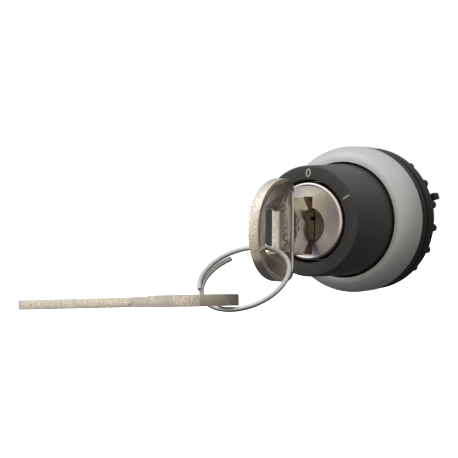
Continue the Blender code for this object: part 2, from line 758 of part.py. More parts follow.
def make_cam(slot):
    """A disc with a square hole for the lock's tail and a stepped rear face."""
    segments = 48
    square = TAIL_HALF + 0.13
    bm = bmesh.new()
    rings = []
    for i in range(segments):
        angle = 2 * math.pi * i / segments
        across, up = math.sin(angle), math.cos(angle)
        inner = square / max(abs(across), abs(up))
        high = cam_height(math.degrees(angle))
        corners = [(inner, CAM_FRONT_Y), (CAM_RADIUS, CAM_FRONT_Y), (CAM_RADIUS, high), (4.7, high),
                   (4.6, CAM_REST_Y), (inner, CAM_REST_Y)]
        rings.append([bm.verts.new((r * across * MM, y * MM, r * up * MM)) for r, y in corners])
    for i, ring in enumerate(rings):
        following = rings[(i + 1) % segments]
        for a in range(len(ring)):
            b = (a + 1) % len(ring)
            bm.faces.new((ring[a], ring[b], following[b], following[a]))
    return object_from("drive_cam", bm, slot)


def make_cam_screw(slot):
    outline = [
        (0.0, 3.0),
        (1.2, 3.0),
        (1.2, TAIL_END_Y + 0.15),
        (2.6, TAIL_END_Y + 0.15),
        (2.6, TAIL_END_Y + 1.0),
        (2.1, TAIL_END_Y + 1.4),
        (0.0, TAIL_END_Y + 1.4),
    ]
    screw = object_from("cam_screw", turned(outline, 16), slot)
    for low, high in (((-1.5, -0.25), (1.5, 0.25)), ((-0.25, -1.5), (0.25, 1.5))):
        cut(screw, block((low[0], TAIL_END_Y + 0.8, low[1]), (high[0], TAIL_END_Y + 2.0, high[1])))
    return screw


def make_plunger(side, label, slot, spring_slot):
    """A push rod with a domed nose on the cam, a spring collar and a tail for the contact block."""
    nose = arc(0, PLUNGER_NOSE_Y + PLUNGER_RADIUS, PLUNGER_RADIUS, -90, 0, 3)
    collar_y = PLUNGER_NOSE_Y + 1.1 + PLUNGER_RADIUS - 1.2
    outline = [
        (0.0, nose[0][1]),
        *nose[1:],
        (PLUNGER_RADIUS, collar_y + 0.1),
        (1.9, collar_y + 0.1),
        (1.9, collar_y + 0.6),
        (PLUNGER_RADIUS, collar_y + 0.6),
        (PLUNGER_RADIUS, COVER_REAR_Y + 0.3),
        (PLUNGER_RADIUS - 0.3, COVER_REAR_Y + 0.6),
        (0.0, COVER_REAR_Y + 0.6),
    ]
    bm = turned(outline, 12)
    bmesh.ops.translate(bm, verts=bm.verts, vec=(side * PLUNGER_OFFSET * MM, 0, 0))
    object_from(f"plunger_{label}", bm, slot)
    start = (side * PLUNGER_OFFSET, collar_y + 0.7, 0)
    room = COVER_REAR_Y - COVER_FLOOR - 0.05 - start[1]
    coil(f"plunger_spring_{label}", start, (0, 1, 0), room, 1.6, 0.15, 4, spring_slot)


# ---------------------------------------------------------------- keys and ring


def bow_outline(rim, rear_rim):
    """The bow's round outline, drawn in by a rim width, as (along, across) points."""
    half = BOW_HALF_HEIGHT - rim
    front = BOW_WAIST - rim
    rear = BOW_LENGTH - rear_rim
    corner = (rear - BOW_WAIST, 1.7)
    straight = half - corner[1]
    upper = []
    for i in range(4):
        angle = math.radians(90 * i / 3)
        upper.append((BOW_WAIST + corner[0] * math.cos(angle), straight + corner[1] * math.sin(angle)))
    for i in range(1, 11):
        angle = math.radians(90 * i / 10)
        upper.append((BOW_WAIST - front * math.sin(angle) ** 0.95, half * math.cos(angle) ** 0.95))
    lower = [(along, -across) for along, across in reversed(upper[:-1])]
    return upper + lower


def blade_edge(depths):
    """One edge of shank and blade, with its shoulder, cuts and tip, as (along, height) points."""
    edge = [
        (BOW_LENGTH - 1.6, SHANK_HALF_HEIGHT),
        (SHANK_END, SHANK_HALF_HEIGHT),
        (BLADE_START, BLADE_HALF_HEIGHT),
    ]
    for i, depth in enumerate(depths):
        middle = wafer_y(i) - KEY_1_FRONT_Y
        edge += [
            (middle - 0.95, BLADE_HALF_HEIGHT),
            (middle - 0.35, BLADE_HALF_HEIGHT - depth),
            (middle + 0.35, BLADE_HALF_HEIGHT - depth),
            (middle + 0.95, BLADE_HALF_HEIGHT),
        ]
    edge += [(KEY_LENGTH - 1.9, BLADE_HALF_HEIGHT), (KEY_LENGTH, 0.9)]
    return edge


def key_plate(outline, holes, half_thickness):
    """A plate in the key's own frame: along Y, across Z and thick along X."""
    bm = plate(outline, holes, -half_thickness, half_thickness)
    # Plate coordinates are (along, thickness, across).
    to_key = Matrix(((0, 1, 0), (1, 0, 0), (0, 0, 1)))
    bmesh.ops.transform(bm, verts=bm.verts, matrix=to_key.to_4x4())
    bmesh.ops.recalc_face_normals(bm, faces=bm.faces)
    return bm


def key_hole(grow):
    """The hole's outline for the ring, widened by grow on every side."""
    corner = 0.5 + grow
    points = []
    for a, b, start in (
        (HOLE_REAR - 0.5, HOLE_TOP - 0.5, 0),
        (HOLE_FRONT + 0.5, HOLE_TOP - 0.5, 90),
        (HOLE_FRONT + 0.5, HOLE_BOTTOM + 0.5, 180),
        (HOLE_REAR - 0.5, HOLE_BOTTOM + 0.5, 270),
    ):
        points += arc(a, b, corner, start, start + 90, 2)
    return points


def key_hole_tool():
    """The hole with eased edges: narrowest at mid-thickness and flared towards both faces."""
    bm = bmesh.new()
    loops = []
    for thick, grow in ((-1.2, HOLE_EASE), (-0.25, 0.0), (0.25, 0.0), (1.2, HOLE_EASE)):
        loops.append([
            bm.verts.new((thick * MM, along * MM, across * MM)) for along, across in key_hole(grow)
        ])
    count = len(loops[0])
    for low, high in zip(loops, loops[1:]):
        for i in range(count):
            j = (i + 1) % count
            bm.faces.new((low[i], low[j], high[j], high[i]))
    bm.faces.new(loops[0])
    bm.faces.new(loops[-1])
    bmesh.ops.recalc_face_normals(bm, faces=bm.faces)
    return bm


def make_key(name, slot):
    """Bow with a sunk field and a slot for the ring, then the shank and a blade cut on its lower edge."""
    key = object_from(name, key_plate(bow_outline(0, 0), [], BOW_THICKNESS / 2), slot)
    upper = [(along, BLADE_RISE + height) for along, height in blade_edge(())]
    lower = [(along, BLADE_RISE - height) for along, height in reversed(blade_edge(BITTING_DEPTHS))]
    add(key, key_plate(upper + lower, [], BLADE_THICKNESS / 2))
    field = bow_outline(BOW_RIM, 0.45)
    for side in (-1, 1):
        tool = key_plate(field, [], BOW_FIELD_DEPTH)
        bmesh.ops.translate(tool, verts=tool.verts, vec=(side * BOW_THICKNESS / 2 * MM, 0, 0))
        cut(key, tool)
    cut(key, key_hole_tool())
    return key


def make_key_ring(slot):
    across = Vector((1, 0, 0))
    across = (across - RING_NORMAL * across.dot(RING_NORMAL)).normalized()
    other = RING_NORMAL.cross(across)
    count = 64
    points = []
    for i in range(count + 1):
        part = i / count
        angle = math.radians(RING_START_DEG + (RING_END_DEG - RING_START_DEG) * part)
        around = across * math.cos(angle) + other * math.sin(angle)
        points.append(RING_CENTRE + around * RING_RADIUS + RING_NORMAL * RING_CLIMB * (part - 0.5))
    return wire("key_ring", points, RING_WIRE / 2, slot, 2)


def make_keys(slot, ring_slot):
    key_1 = make_key("key_1", slot)
    key_1.location = Vector((0, KEY_1_FRONT_Y, KEY_1_BOW_Z)) * MM
    make_key_ring(ring_slot)
    key_2 = object_with("key_2", key_1.data)
    across = (KEY_2_ACROSS - KEY_2_ALONG * KEY_2_ACROSS.dot(KEY_2_ALONG)).normalized()
    thick = KEY_2_ALONG.cross(across)
    turn = Matrix((thick, KEY_2_ALONG, across)).transposed()
    key_2.matrix_world = Matrix.Translation(KEY_2_FRONT * MM) @ turn.to_4x4()


# ---------------------------------------------------------------- assembly


def main():
    clear_scene()
    silver = material("satin_silver", (0.45, 0.46, 0.45), 0.38, 0.6)
    dark = material("dark_grey_plastic", (0.065, 0.066, 0.062), 0.45)
    black = material("black_plastic", (0.03, 0.028, 0.026), 0.5)
    white = material("legend_paint", (0.6, 0.6, 0.57), 0.6)
    rubber = material("seal_rubber", (0.02, 0.02, 0.02), 0.7)
    nickel = material("polished_nickel", (0.55, 0.52, 0.48), 0.22, 1.0)
    zinc = material("die_cast_zinc", (0.42, 0.42, 0.43), 0.45, 1.0)
    brass = material("wafer_brass", (0.6, 0.45, 0.2), 0.35, 1.0)
    steel = material("spring_steel", (0.5, 0.5, 0.5), 0.25, 1.0)
    key_metal = material("key_nickel", (0.5, 0.45, 0.38), 0.3, 1.0)
    red = material("cam_plastic", (0.45, 0.03, 0.02), 0.45)
    cream = material("plunger_plastic", (0.7, 0.66, 0.55), 0.4)

    make_bezel(silver)
    make_mounting_body(black)
    make_gasket(rubber)
    make_housing(dark)
    make_legends(white)
    o_ring("stem_seal", 9.3, SEAL_SECTION_RADIUS, STEM_SEAL_Y, rubber)
    object_from("housing_clip", open_ring(7.97, 8.93, 36, 2.07, 2.72), steel)
    make_rear_cover(black)

    make_washer(zinc)
    make_ring_nut(black)

    make_rotor(nickel)
    o_ring("rotor_seal", 5.3, SEAL_SECTION_RADIUS, ROTOR_SEAL_Y, rubber)
    object_from("rotor_clip", open_ring(5.12, 7.3, 50, -1.97, -1.2), steel)
    make_stator(zinc)
    make_detent(steel, steel)
    for index in range(WAFER_COUNT):
        make_wafer(index, brass)
        make_wafer_spring(index, steel)

    make_cam(red)
    make_cam_screw(steel)
    for side, label in ((-1, "left"), (1, "right")):
        make_plunger(side, label, cream, steel)

    make_keys(key_metal, steel)


main()
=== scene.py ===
"""Looks of the key-operated selector switch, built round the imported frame.

Lengths are in millimetres and turn into metres where a mesh is made. The switch's axis lies along Y,
the knob's face looks along -Y, +Z points to the "0" mark and the origin is on the panel's front surface.
"""
import json
import math

import bmesh
import bpy
from mathutils import Matrix, Vector


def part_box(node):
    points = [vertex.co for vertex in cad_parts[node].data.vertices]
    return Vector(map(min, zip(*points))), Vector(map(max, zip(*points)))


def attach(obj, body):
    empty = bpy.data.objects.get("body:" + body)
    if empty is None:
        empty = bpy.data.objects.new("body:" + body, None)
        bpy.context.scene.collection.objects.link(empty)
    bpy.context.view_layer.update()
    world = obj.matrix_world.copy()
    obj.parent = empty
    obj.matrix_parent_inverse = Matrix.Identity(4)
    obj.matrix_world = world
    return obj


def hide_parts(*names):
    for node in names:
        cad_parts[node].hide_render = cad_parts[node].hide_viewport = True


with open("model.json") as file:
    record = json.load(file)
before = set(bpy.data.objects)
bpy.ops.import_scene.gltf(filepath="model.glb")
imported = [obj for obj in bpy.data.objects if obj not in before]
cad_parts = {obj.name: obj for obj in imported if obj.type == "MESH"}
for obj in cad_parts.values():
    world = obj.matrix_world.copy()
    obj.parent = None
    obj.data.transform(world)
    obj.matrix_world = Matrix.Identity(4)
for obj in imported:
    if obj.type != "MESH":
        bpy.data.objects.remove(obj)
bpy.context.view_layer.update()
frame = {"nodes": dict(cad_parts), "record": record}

MM = 0.001
SMALL = 0.01
# How far a cutting shape runs past the surface that it cuts.
CUT_PAST = 1.0


def extent(node):
    """A CAD node's lowest and highest corners at rest, in millimetres."""
    low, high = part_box(node)
    return low / MM, high / MM


# Driving sizes, read from the frame.
BEZEL_LOW, BEZEL_HIGH = extent("bezel_ring")
BODY_HIGH = extent("mounting_body")[1]
KNOB_LOW, KNOB_HIGH = extent("lock_housing")
ROTOR_LOW, ROTOR_HIGH = extent("lock_rotor")
NUT_LOW, NUT_HIGH = extent("ring_nut")
WASHER_LOW, WASHER_HIGH = extent("thrust_washer")
GASKET_LOW, GASKET_HIGH = extent("panel_gasket")
COVER_LOW, COVER_HIGH = extent("rear_cover")
KEY_LOW, KEY_HIGH = extent("key_1")

# An edge given as points lists them as (in from the side, in from the end).

# Bezel: a crown from the shoulder to the lip, and a stepped hollow behind.
BEZEL_RADIUS = BEZEL_HIGH.x
BEZEL_INNER_RADIUS = 11.5
BEZEL_SHOULDER = 1.3
BEZEL_CROWN_POWER = 0.9
BEZEL_CROWN_STEPS = 40
BEZEL_REAR_EDGE = 0.08
BEZEL_LIP_RADIUS = 0.25
BEZEL_LIP_STEPS = 6
# How far out from the bore and back from the front the bezel's lip gets paler, glossier metal as a
# painted highlight.
HIGHLIGHT_LIP_WIDTH = 0.3
HIGHLIGHT_LIP_DEPTH = 0.4
BEZEL_BORE_END_Y = -7.7
BEZEL_STEP_RADIUS = 12.3
BEZEL_STEP_Y = -7.2
BEZEL_CAVITY_Y = -4.8
BEZEL_CAVITY_FRONT_RADIUS = 13.6
BEZEL_CAVITY_RADIUS = 13.7

# Mounting body: a collar and spigot inside the bezel, a flange, the threaded shank and its lug.
BODY_BORE_RADIUS = 9.75
COLLAR_FRONT_Y = -8.3
COLLAR_RADIUS = 11.3
COLLAR_END_Y = -4.5
SPIGOT_FRONT_RADIUS = 13.3
SPIGOT_FRONT_Y = -4.4
SPIGOT_RADIUS = 13.35
COLLAR_EASE = 0.12
FLANGE_FRONT_Y = -2.95
FLANGE_REAR_Y = -0.85
FLANGE_FRONT_EDGE = ((0.12, 0.0), (0.03, 0.05), (0.0, 0.15))
FLANGE_REAR_EDGE = ((0.0, 0.25), (0.06, 0.09), (0.2, 0.0))
SHANK_ROW = 0.125
SHANK_PLAIN_END = 0.6
SHANK_REAR_EDGE = ((0.15, 0.3), (0.45, 0.0))
THREAD_RADIUS = 11.05
THREAD_ROOT_RADIUS = 10.5
THREAD_PITCH = 1.5
THREAD_STEEPNESS = 3.2
THREAD_FADE = 0.8
THREAD_START_Y = -0.35
THREAD_END_Y = BODY_HIGH.y - 0.45
BODY_CAVITY_RADIUS = 9.05
BODY_STOP_RADIUS = 8.6
BODY_STOP_FRONT_Y = 0.9
BODY_STOP_REAR_Y = 1.9
BODY_SEGMENTS = 144
LUG_FOOT_RADIUS = 10.1
LUG_RADIUS = 12.3
LUG_HALF_WIDTH = 1.3
LUG_FRONT_Y = -1.25
LUG_REAR_Y = 1.2
LUG_EASE = 0.2

# Rings behind the flange.
GASKET_BORE_RADIUS = 12.6
GASKET_EASE = 0.1
WASHER_BORE_RADIUS = 12.65
WASHER_EASE = 0.08

# Knob, and the stem behind it with its grooves for a seal and a snap ring.
KNOB_FACE_Y = KNOB_LOW.y
KNOB_FACE_RADIUS = 10.7
KNOB_EDGE = 0.4
KNOB_BASE_RADIUS = KNOB_HIGH.x
KNOB_BASE_Y = -9.2
KNOB_REAR_Y = -8.6
KNOB_REAR_EDGE = 0.2
KNOB_BORE_RADIUS = 8.0
KNOB_BORE_EDGE = ((0.0, 0.12), (0.04, 0.03), (0.13, 0.0))
KNOB_BORE_END_Y = -0.8
STEM_RADIUS = 9.6
STEM_SEAL_FRONT_Y = -7.0
STEM_SEAL_REAR_Y = -5.6
STEM_SEAL_RADIUS = 8.9
STEM_END_Y = 0.6
SLEEVE_RADIUS = 8.45
SLEEVE_BORE_RADIUS = 7.2
CLIP_GROOVE_FRONT_Y = 2.0
CLIP_GROOVE_REAR_Y = 2.8
CLIP_GROOVE_RADIUS = 7.85

# Printed marks on the knob's face.
PRINT_PROUD = 0.012
PRINT_SUNK = 0.02
ZERO_Z = 9.28
ZERO_HALF_WIDTH = 0.53
ZERO_HALF_HEIGHT = 0.82
ZERO_STROKE = 0.26
ZERO_LEAN_DEG = 8.0
ZERO_STEPS = 64
TURN_DEG = 60.0
BAR_HALF_WIDTH = 0.12
BAR_INNER = 8.7
BAR_OUTER = 10.25
BAR_EASE = 0.05

# Lock rotor: the disc with a raised rim, then the plug with its grooves, then a square tail.
DISC_RADIUS = ROTOR_HIGH.x
DISC_FRONT_Y = ROTOR_LOW.y
DISC_FLAT_Y = DISC_FRONT_Y + 0.16
DISC_REAR_Y = -19.4
DISC_FLAT_RADIUS = 6.7
DISC_EDGE = ((0.05, 0.3), (0.0, 0.42))
DISC_FINISH_END_Y = -19.3
SUNK_BY = 0.05
RIM_FOOT_RADIUS = 6.85
RIM_FOOT_RISE = 0.03
RIM_RADIUS = 7.06
RIM_ROUND = 0.1
RIM_OUTER_RADIUS = 7.3
PLUG_RADIUS = 5.6
PLUG_END_Y = 3.0
# Front, rear and radius of the seal's groove, the detent's and the snap ring's.
PLUG_GROOVES = ((-19.05, -18.15, 4.85), (-5.1, -2.9, 5.0), (-2.05, -1.1, 5.0))
TAIL_HALF = 2.8
TAIL_START_Y = 2.5
TAIL_BORE_RADIUS = 1.35
RECESS_RADIUS = 3.3
RECESS_FLARE = 0.3
RECESS_FLARE_DEPTH = 0.35
RECESS_DEPTH = 1.2
RECESS_DOME = 0.15
SLOT_HALF = 1.005
SHANK_SLOT_GAP = 0.15
SHANK_SLOT_END_Y = -19.8
BLADE_SLOT_GAP = 0.25
BLADE_SLOT_START_Y = -20.0
BLADE_SLOT_END_Y = 2.1
WAFER_COUNT = 5
WAFER_FIRST_Y = -16.9
WAFER_PITCH = 2.2
WAFER_SLOT_HALF = 0.55
WAFER_SLOT_HALF_WIDTH = 3.0
WAFER_SLOT_REACH = PLUG_RADIUS + 1.4
WAFER_POCKET_REACH = 4.5
WAFER_POCKET_LOW = -2.2
WAFER_POCKET_HIGH = 2.75
LOCK_FINISHES = ("lock_face", "keyway", "disc_face", "slot_wall")

# Ring nut: straight in front, then tapered, with ribs and a tab.
NUT_FRONT_RADIUS = 14.7
NUT_REAR_RADIUS = 13.5
NUT_TAPER_Y = 2.8
NUT_REAR_Y = 5.9
NUT_TAPER_END_Y = NUT_REAR_Y - 0.5
NUT_TAPER_ROWS = 40
NUT_SEGMENTS = 720
NUT_FRONT_EDGE = ((0.2, 0.0), (0.06, 0.06), (0.0, 0.2))
NUT_REAR_EDGE = ((0.12, 0.2), (0.45, 0.0))
NUT_BORE_RADIUS = 11.3
NUT_BORE_EASE = 0.3
NUT_SEAT_GAP = 0.15
NUT_POCKET_RADIUS = 12.65
NUT_POCKET_END_Y = 2.0
RIB_COUNT = 18
RIB_RADIUS = 0.83
RIB_CIRCLE = 13.45
RIB_FRONT_Y = 3.0
RIB_REAR_Y = NUT_REAR_Y - 0.45
RIB_FRONT_FADE = 0.25
RIB_REAR_FADE = 0.05
RIB_LEAST_RADIUS = NUT_REAR_RADIUS - 0.5
FIRST_RIB_DEG = 17.0
TAB_DEG = 70.6
TAB_HALF_WIDTH = 0.65
TAB_FOOT_RADIUS = 13.2
TAB_RADIUS = 14.8
TAB_LENGTH = 1.3
TAB_EASE = 0.15

# Rear cover and the two push rods.
COVER_BORE_RADIUS = 8.4
COVER_SLEEVE_RADIUS = 8.9
COVER_STEP_Y = 10.95
COVER_HOLE_RADIUS = 2.2
COVER_FLOOR = 1.3
COVER_EASE = 0.25
COVER_CUT_DEPTH = 2.0
PLUNGER_OFFSET = 6.4
PLUNGER_HOLE_RADIUS = 1.4
PLUNGER_RADIUS = 1.25
PLUNGER_COLLAR_RADIUS = 1.9
PLUNGER_COLLAR = 0.6
PLUNGER_TAIL_EDGE = 0.3

# Key, in its own frame: along Y from the bow's front edge to the tip, across Z, thick along X.
BOW_LENGTH = 12.9
BOW_HALF_HEIGHT = 9.57
BOW_WAIST = 10.3
BOW_REAR_CORNER = 1.7
BOW_ROUND_POWER = 0.95
BOW_CORNER_STEPS = 12
BOW_ROUND_STEPS = 40
BOW_HALF_THICKNESS = 1.0
BOW_RIM = 1.05
BOW_REAR_RIM = 0.2
FIELD_DEPTH = 0.2
FIELD_FLOOR = BOW_HALF_THICKNESS - FIELD_DEPTH
HOLE_FRONT = 3.5
HOLE_REAR = 7.5
HOLE_BOTTOM = -3.75
HOLE_TOP = 3.9
HOLE_CORNER = 0.5
HOLE_CORNER_STEPS = 8
HOLE_EASE = 0.8
HOLE_LAND = 0.25
HOLE_REACH = 1.2
BLADE_HALF_THICKNESS = 0.875
BLADE_RISE = 0.6
SHANK_HALF_HEIGHT = 5.4
SHANK_ROOT = BOW_LENGTH - 1.6
SHANK_END = 16.5
BLADE_START = 18.7
BLADE_HALF_HEIGHT = 2.9
KEY_LENGTH = KEY_HIGH.y - KEY_LOW.y
TIP_LENGTH = 1.9
TIP_HALF_HEIGHT = 0.9
FIRST_CUT = 26.0
CUT_PITCH = 2.2
CUT_DEPTHS = (0.5, 0.85, 0.4, 0.75, 0.55)
CUT_MOUTH_HALF = 0.95
CUT_FLOOR_HALF = 0.35
GROOVE_START = BLADE_START + 0.6
GROOVE_LOW = BLADE_RISE + 1.0
GROOVE_HIGH = BLADE_RISE + 1.7
GROOVE_DEPTH = 0.28
KEY_EASE = 0.05
KEY_FINISHES = ("key_metal", "key_edge", "key_side", "lip")
KEY_1_PLACE = Vector((0, KEY_LOW.y, (KEY_LOW.z + KEY_HIGH.z) / 2))
BLADE_Z = KEY_1_PLACE.z + BLADE_RISE
KEY_2_PLACE = Vector((1.3, -50.7, -13.05))
KEY_2_ALONG = Vector((-0.977, -0.204, -0.061)).normalized()
KEY_2_ACROSS = Vector((0.199, -0.977, 0.082))

# Plain marks: raised bars and rings on the bow, two rings stamped into the shank.
BAR_MARK_COUNT = 6
BAR_MARK_PITCH = 1.15
BAR_MARK_FIRST = 5.2
BAR_MARK_FRONT = 9.3
BAR_MARK_REAR = 10.5
BAR_MARK_HEIGHTS = (0.3, 0.42)
BAR_MARK_EASE = 0.1
RING_MARK_CENTRE = (10.1, -2.9)
RING_MARK_RADII = ((1.3, 1.08), (0.75, 0.53))
MARK_HALF_THICKNESS = 0.08
MARK_RISE = 0.04
STAMP_ALONG = 14.4
STAMP_ACROSS = (1.66, 0.1)
STAMP_OUTER_RADIUS = 0.675
STAMP_INNER_RADIUS = 0.5
STAMP_DEPTH = 0.07

# Where the key's edge is smooth instead of grained, as (from, to) along the key.
SMOOTH_TIP = (KEY_LENGTH - 2.2, KEY_LENGTH + 1.0)
SPARE_SMOOTH = ((-1.0, 3.6), (7.7, 16.4))
# A face counts as one of the key's broad sides from this much of its normal along the thickness.
BROAD_SIDE = 0.35
# Where the tops of the marks lie along the thickness, and where along the key the bow's rear rim starts,
# which gets a painted highlight.
MARK_TOP_FROM = FIELD_FLOOR + 0.03
MARK_TOP_TO = BOW_HALF_THICKNESS - 0.02
RIM_HIGHLIGHT_FROM = BOW_LENGTH - BOW_REAR_RIM - 0.06

# Key ring: nearly one and a quarter turns of wire.
RING_CENTRE = Vector((-0.15, -45.28, -9.61))
RING_NORMAL = Vector((0.045, -0.597, 0.801)).normalized()
RING_RADIUS = 8.2
RING_WIRE_RADIUS = 0.46
RING_END_SHARE = 0.82
RING_START_DEG = 136.0
RING_END_DEG = 576.0
RING_CLIMB = 1.45
RING_STEPS = 256
RING_WIRE_SIDES = 20

# A corner eased by a curve takes at most this share of the sides next to it.
EASE_SHARE = 0.45
EASE_POINTS = 4
SHARP_DEG = 35


# ---------------------------------------------------------------- shapes


def arc(centre_a, centre_b, radius, start_deg, end_deg, steps):
    """Points on a circle, both ends included."""
    found = []
    for i in range(steps + 1):
        angle = math.radians(start_deg + (end_deg - start_deg) * i / steps)
        found.append((centre_a + radius * math.cos(angle), centre_b + radius * math.sin(angle)))
    return found


def circle(radius, steps, centre=(0.0, 0.0)):
    """A closed round outline with as many points as steps."""
    return arc(*centre, radius, 0, 360 * (steps - 1) / steps, steps - 1)


def eased(outline, ease):
    """A closed outline with each corner drawn as a small curve of EASE_POINTS points."""
    found = []
    count = len(outline)
    for i, corner in enumerate(outline):
        corner = Vector(corner)
        before = Vector(outline[i - 1]) - corner
        after = Vector(outline[(i + 1) % count]) - corner
        reach = min(ease, before.length * EASE_SHARE, after.length * EASE_SHARE)
        start = corner + before.normalized() * reach
        end = corner + after.normalized() * reach
        for step in range(EASE_POINTS):
            t = step / (EASE_POINTS - 1)
            point = start * (1 - t) ** 2 + corner * 2 * t * (1 - t) + end * t ** 2
            found.append((point.x, point.y))
    return found


def finished(name, bm, sharp_deg=SHARP_DEG):
    """A named mesh object from a bmesh, smooth over its round stretches."""
    bmesh.ops.recalc_face_normals(bm, faces=bm.faces)
    mesh = bpy.data.meshes.new(name)
    bm.to_mesh(mesh)
    bm.free()
    made = bpy.data.objects.new(name, mesh)
    bpy.context.scene.collection.objects.link(made)
    shade(made, sharp_deg)
    return made


def shade(piece, sharp_deg=SHARP_DEG):
    """Smooth shading, but for edges sharper than an angle."""
    piece.data.shade_smooth()
    piece.data.set_sharp_from_angle(angle=math.radians(sharp_deg))


def turned(profile, segments=128, swell=None):
    """A closed (radius, y) profile turned about Y. swell(radius, y, angle) may change a radius."""
    bm = bmesh.new()
    rings = []
    for i in range(segments):
        angle = 2 * math.pi * i / segments
        ring = []
        for radius, y in profile:
            r = swell(radius, y, angle) if swell else radius
            ring.append(bm.verts.new((r * math.sin(angle) * MM, y * MM, r * math.cos(angle) * MM)))
        rings.append(ring)
    for i, ring in enumerate(rings):
        following = rings[(i + 1) % segments]
        for a in range(len(profile)):
            b = (a + 1) % len(profile)
            bm.faces.new((ring[a], ring[b], following[b], following[a]))
    bmesh.ops.remove_doubles(bm, verts=bm.verts, dist=1e-7)
    return bm


def plate(outline, low, high, holes=()):
    """A flat piece with an (x, z) outline and through holes, between two y values."""
    bm = bmesh.new()
    edges = []
    for loop in (outline, *holes):
        points = [bm.verts.new((x * MM, low * MM, z * MM)) for x, z in loop]
        edges += [bm.edges.new((points[i - 1], points[i])) for i in range(len(points))]
    bmesh.ops.triangle_fill(bm, edges=edges, use_beauty=True)
    grown = bmesh.ops.extrude_face_region(bm, geom=bm.faces[:])
    risen = [item for item in grown["geom"] if isinstance(item, bmesh.types.BMVert)]
    bmesh.ops.translate(bm, verts=risen, vec=(0, (high - low) * MM, 0))
    return bm


def join_loops(bm, loops):
    """Walls between each loop of vertices and the next, and a cap at both ends."""
    for low, high in zip(loops, loops[1:]):
        for i in range(len(low)):
            j = (i + 1) % len(low)
            bm.faces.new((low[i], low[j], high[j], high[i]))
    bm.faces.new(loops[0])
    bm.faces.new(loops[-1])


def box_outline(a_low, a_high, b_low, b_high):
    return [(a_low, b_low), (a_high, b_low), (a_high, b_high), (a_low, b_high)]


def combine(target, tool_mesh, operation):
    """Adds or cuts one closed bmesh. Both are enlarged to millimetres while that happens."""
    tool = finished(target.name + "_tool", tool_mesh)
    enlarge = Matrix.Scale(1 / MM, 4)
    target.data.transform(enlarge)
    tool.data.transform(enlarge)
    step = target.modifiers.new("shape", "BOOLEAN")
    step.operation = operation
    step.object = tool
    step.solver = "MANIFOLD"
    graph = bpy.context.evaluated_depsgraph_get()
    result = bpy.data.meshes.new_from_object(target.evaluated_get(graph))
    target.modifiers.clear()
    result.transform(enlarge.inverted())
    result.materials.clear()
    target.data = result
    bpy.data.objects.remove(tool, do_unlink=True)
    shade(target)


def ease_edges(piece, width):
    """Rounds the piece's sharp edges, so that they catch the light."""
    bm = bmesh.new()
    bm.from_mesh(piece.data)
    bmesh.ops.dissolve_limit(bm, angle_limit=math.radians(1), verts=bm.verts, edges=bm.edges)
    least = math.radians(SHARP_DEG)
    sharp = [e for e in bm.edges if len(e.link_faces) == 2 and e.calc_face_angle() > least]
    bmesh.ops.bevel(
        bm, geom=sharp, offset=width * MM, segments=2, profile=0.5, affect="EDGES",
        clamp_overlap=True, offset_type="OFFSET",
    )
    bmesh.ops.recalc_face_normals(bm, faces=bm.faces)
    bm.to_mesh(piece.data)
    bm.free()
    shade(piece)


# ---------------------------------------------------------------- materials


def start_material(name):
    made = bpy.data.materials.new(name)
    made.use_nodes = True
    return made, made.node_tree, made.node_tree.nodes["Principled BSDF"]


def noise(tree, scale, detail=4.0, stretch=None):
    """Noise over the object's own coordinates, finer as scale grows. stretch draws it out."""
    place = tree.nodes.new("ShaderNodeTexCoord")
    made = tree.nodes.new("ShaderNodeTexNoise")
    made.inputs["Scale"].default_value = scale
    made.inputs["Detail"].default_value = detail
    source = place.outputs["Object"]
    if stretch:
        shape = tree.nodes.new("ShaderNodeMapping")
        shape.inputs["Scale"].default_value = stretch
        tree.links.new(source, shape.inputs["Vector"])
        source = shape.outputs["Vector"]
    tree.links.new(source, made.inputs["Vector"])
    return made.outputs["Fac"]


def ramp(tree, source, stops):
    """Colours picked along the source, from (position, colour) stops."""
    made = tree.nodes.new("ShaderNodeValToRGB")
    while len(made.color_ramp.elements) < len(stops):
        made.color_ramp.elements.new(0.5)
    for element, (position, colour) in zip(made.color_ramp.elements, stops):
        element.position = position
        element.color = (*colour, 1.0)
    tree.links.new(source, made.inputs["Fac"])
    return made.outputs["Color"]


def spread(tree, source, low, high):
    """The source's 0.3 to 0.7 mapped to a range of values."""
    made = tree.nodes.new("ShaderNodeMapRange")
    made.inputs["From Min"].default_value = 0.3
    made.inputs["From Max"].default_value = 0.7
    made.inputs["To Min"].default_value = low
    made.inputs["To Max"].default_value = high
    tree.links.new(source, made.inputs["Value"])
    return made.outputs["Result"]


def bump(tree, shader, source, height_mm, strength=1.0):
    made = tree.nodes.new("ShaderNodeBump")
    made.inputs["Strength"].default_value = strength
    made.inputs["Distance"].default_value = height_mm * MM
    tree.links.new(source, made.inputs["Height"])
    tree.links.new(made.outputs["Normal"], shader.inputs["Normal"])


def shaded(colour, amount):
    return tuple(channel * amount for channel in colour)


def surface(name, colour, roughness, metallic=0.0, grain=9000, grain_mm=0.004, vary=0.12,
            stretch=None, specular=0.5, patch=180.0):
    """A finish with fine grain, a slow drift of tone and uneven gloss.

    grain and patch set how fine the two noises are, grain_mm how deep the grain is, and vary how far
    the tone drifts to each side."""
    made, tree, shader = start_material(name)
    fine = noise(tree, grain, stretch=stretch)
    slow = noise(tree, patch, detail=2.0)
    colours = ramp(tree, slow, [(0.3, shaded(colour, 1 - vary)), (0.7, shaded(colour, 1 + vary))])
    tree.links.new(colours, shader.inputs["Base Color"])
    tree.links.new(spread(tree, fine, roughness * 0.85, roughness * 1.15), shader.inputs["Roughness"])
    shader.inputs["Metallic"].default_value = metallic
    shader.inputs["Specular IOR Level"].default_value = specular
    bump(tree, shader, fine, grain_mm)
    return made


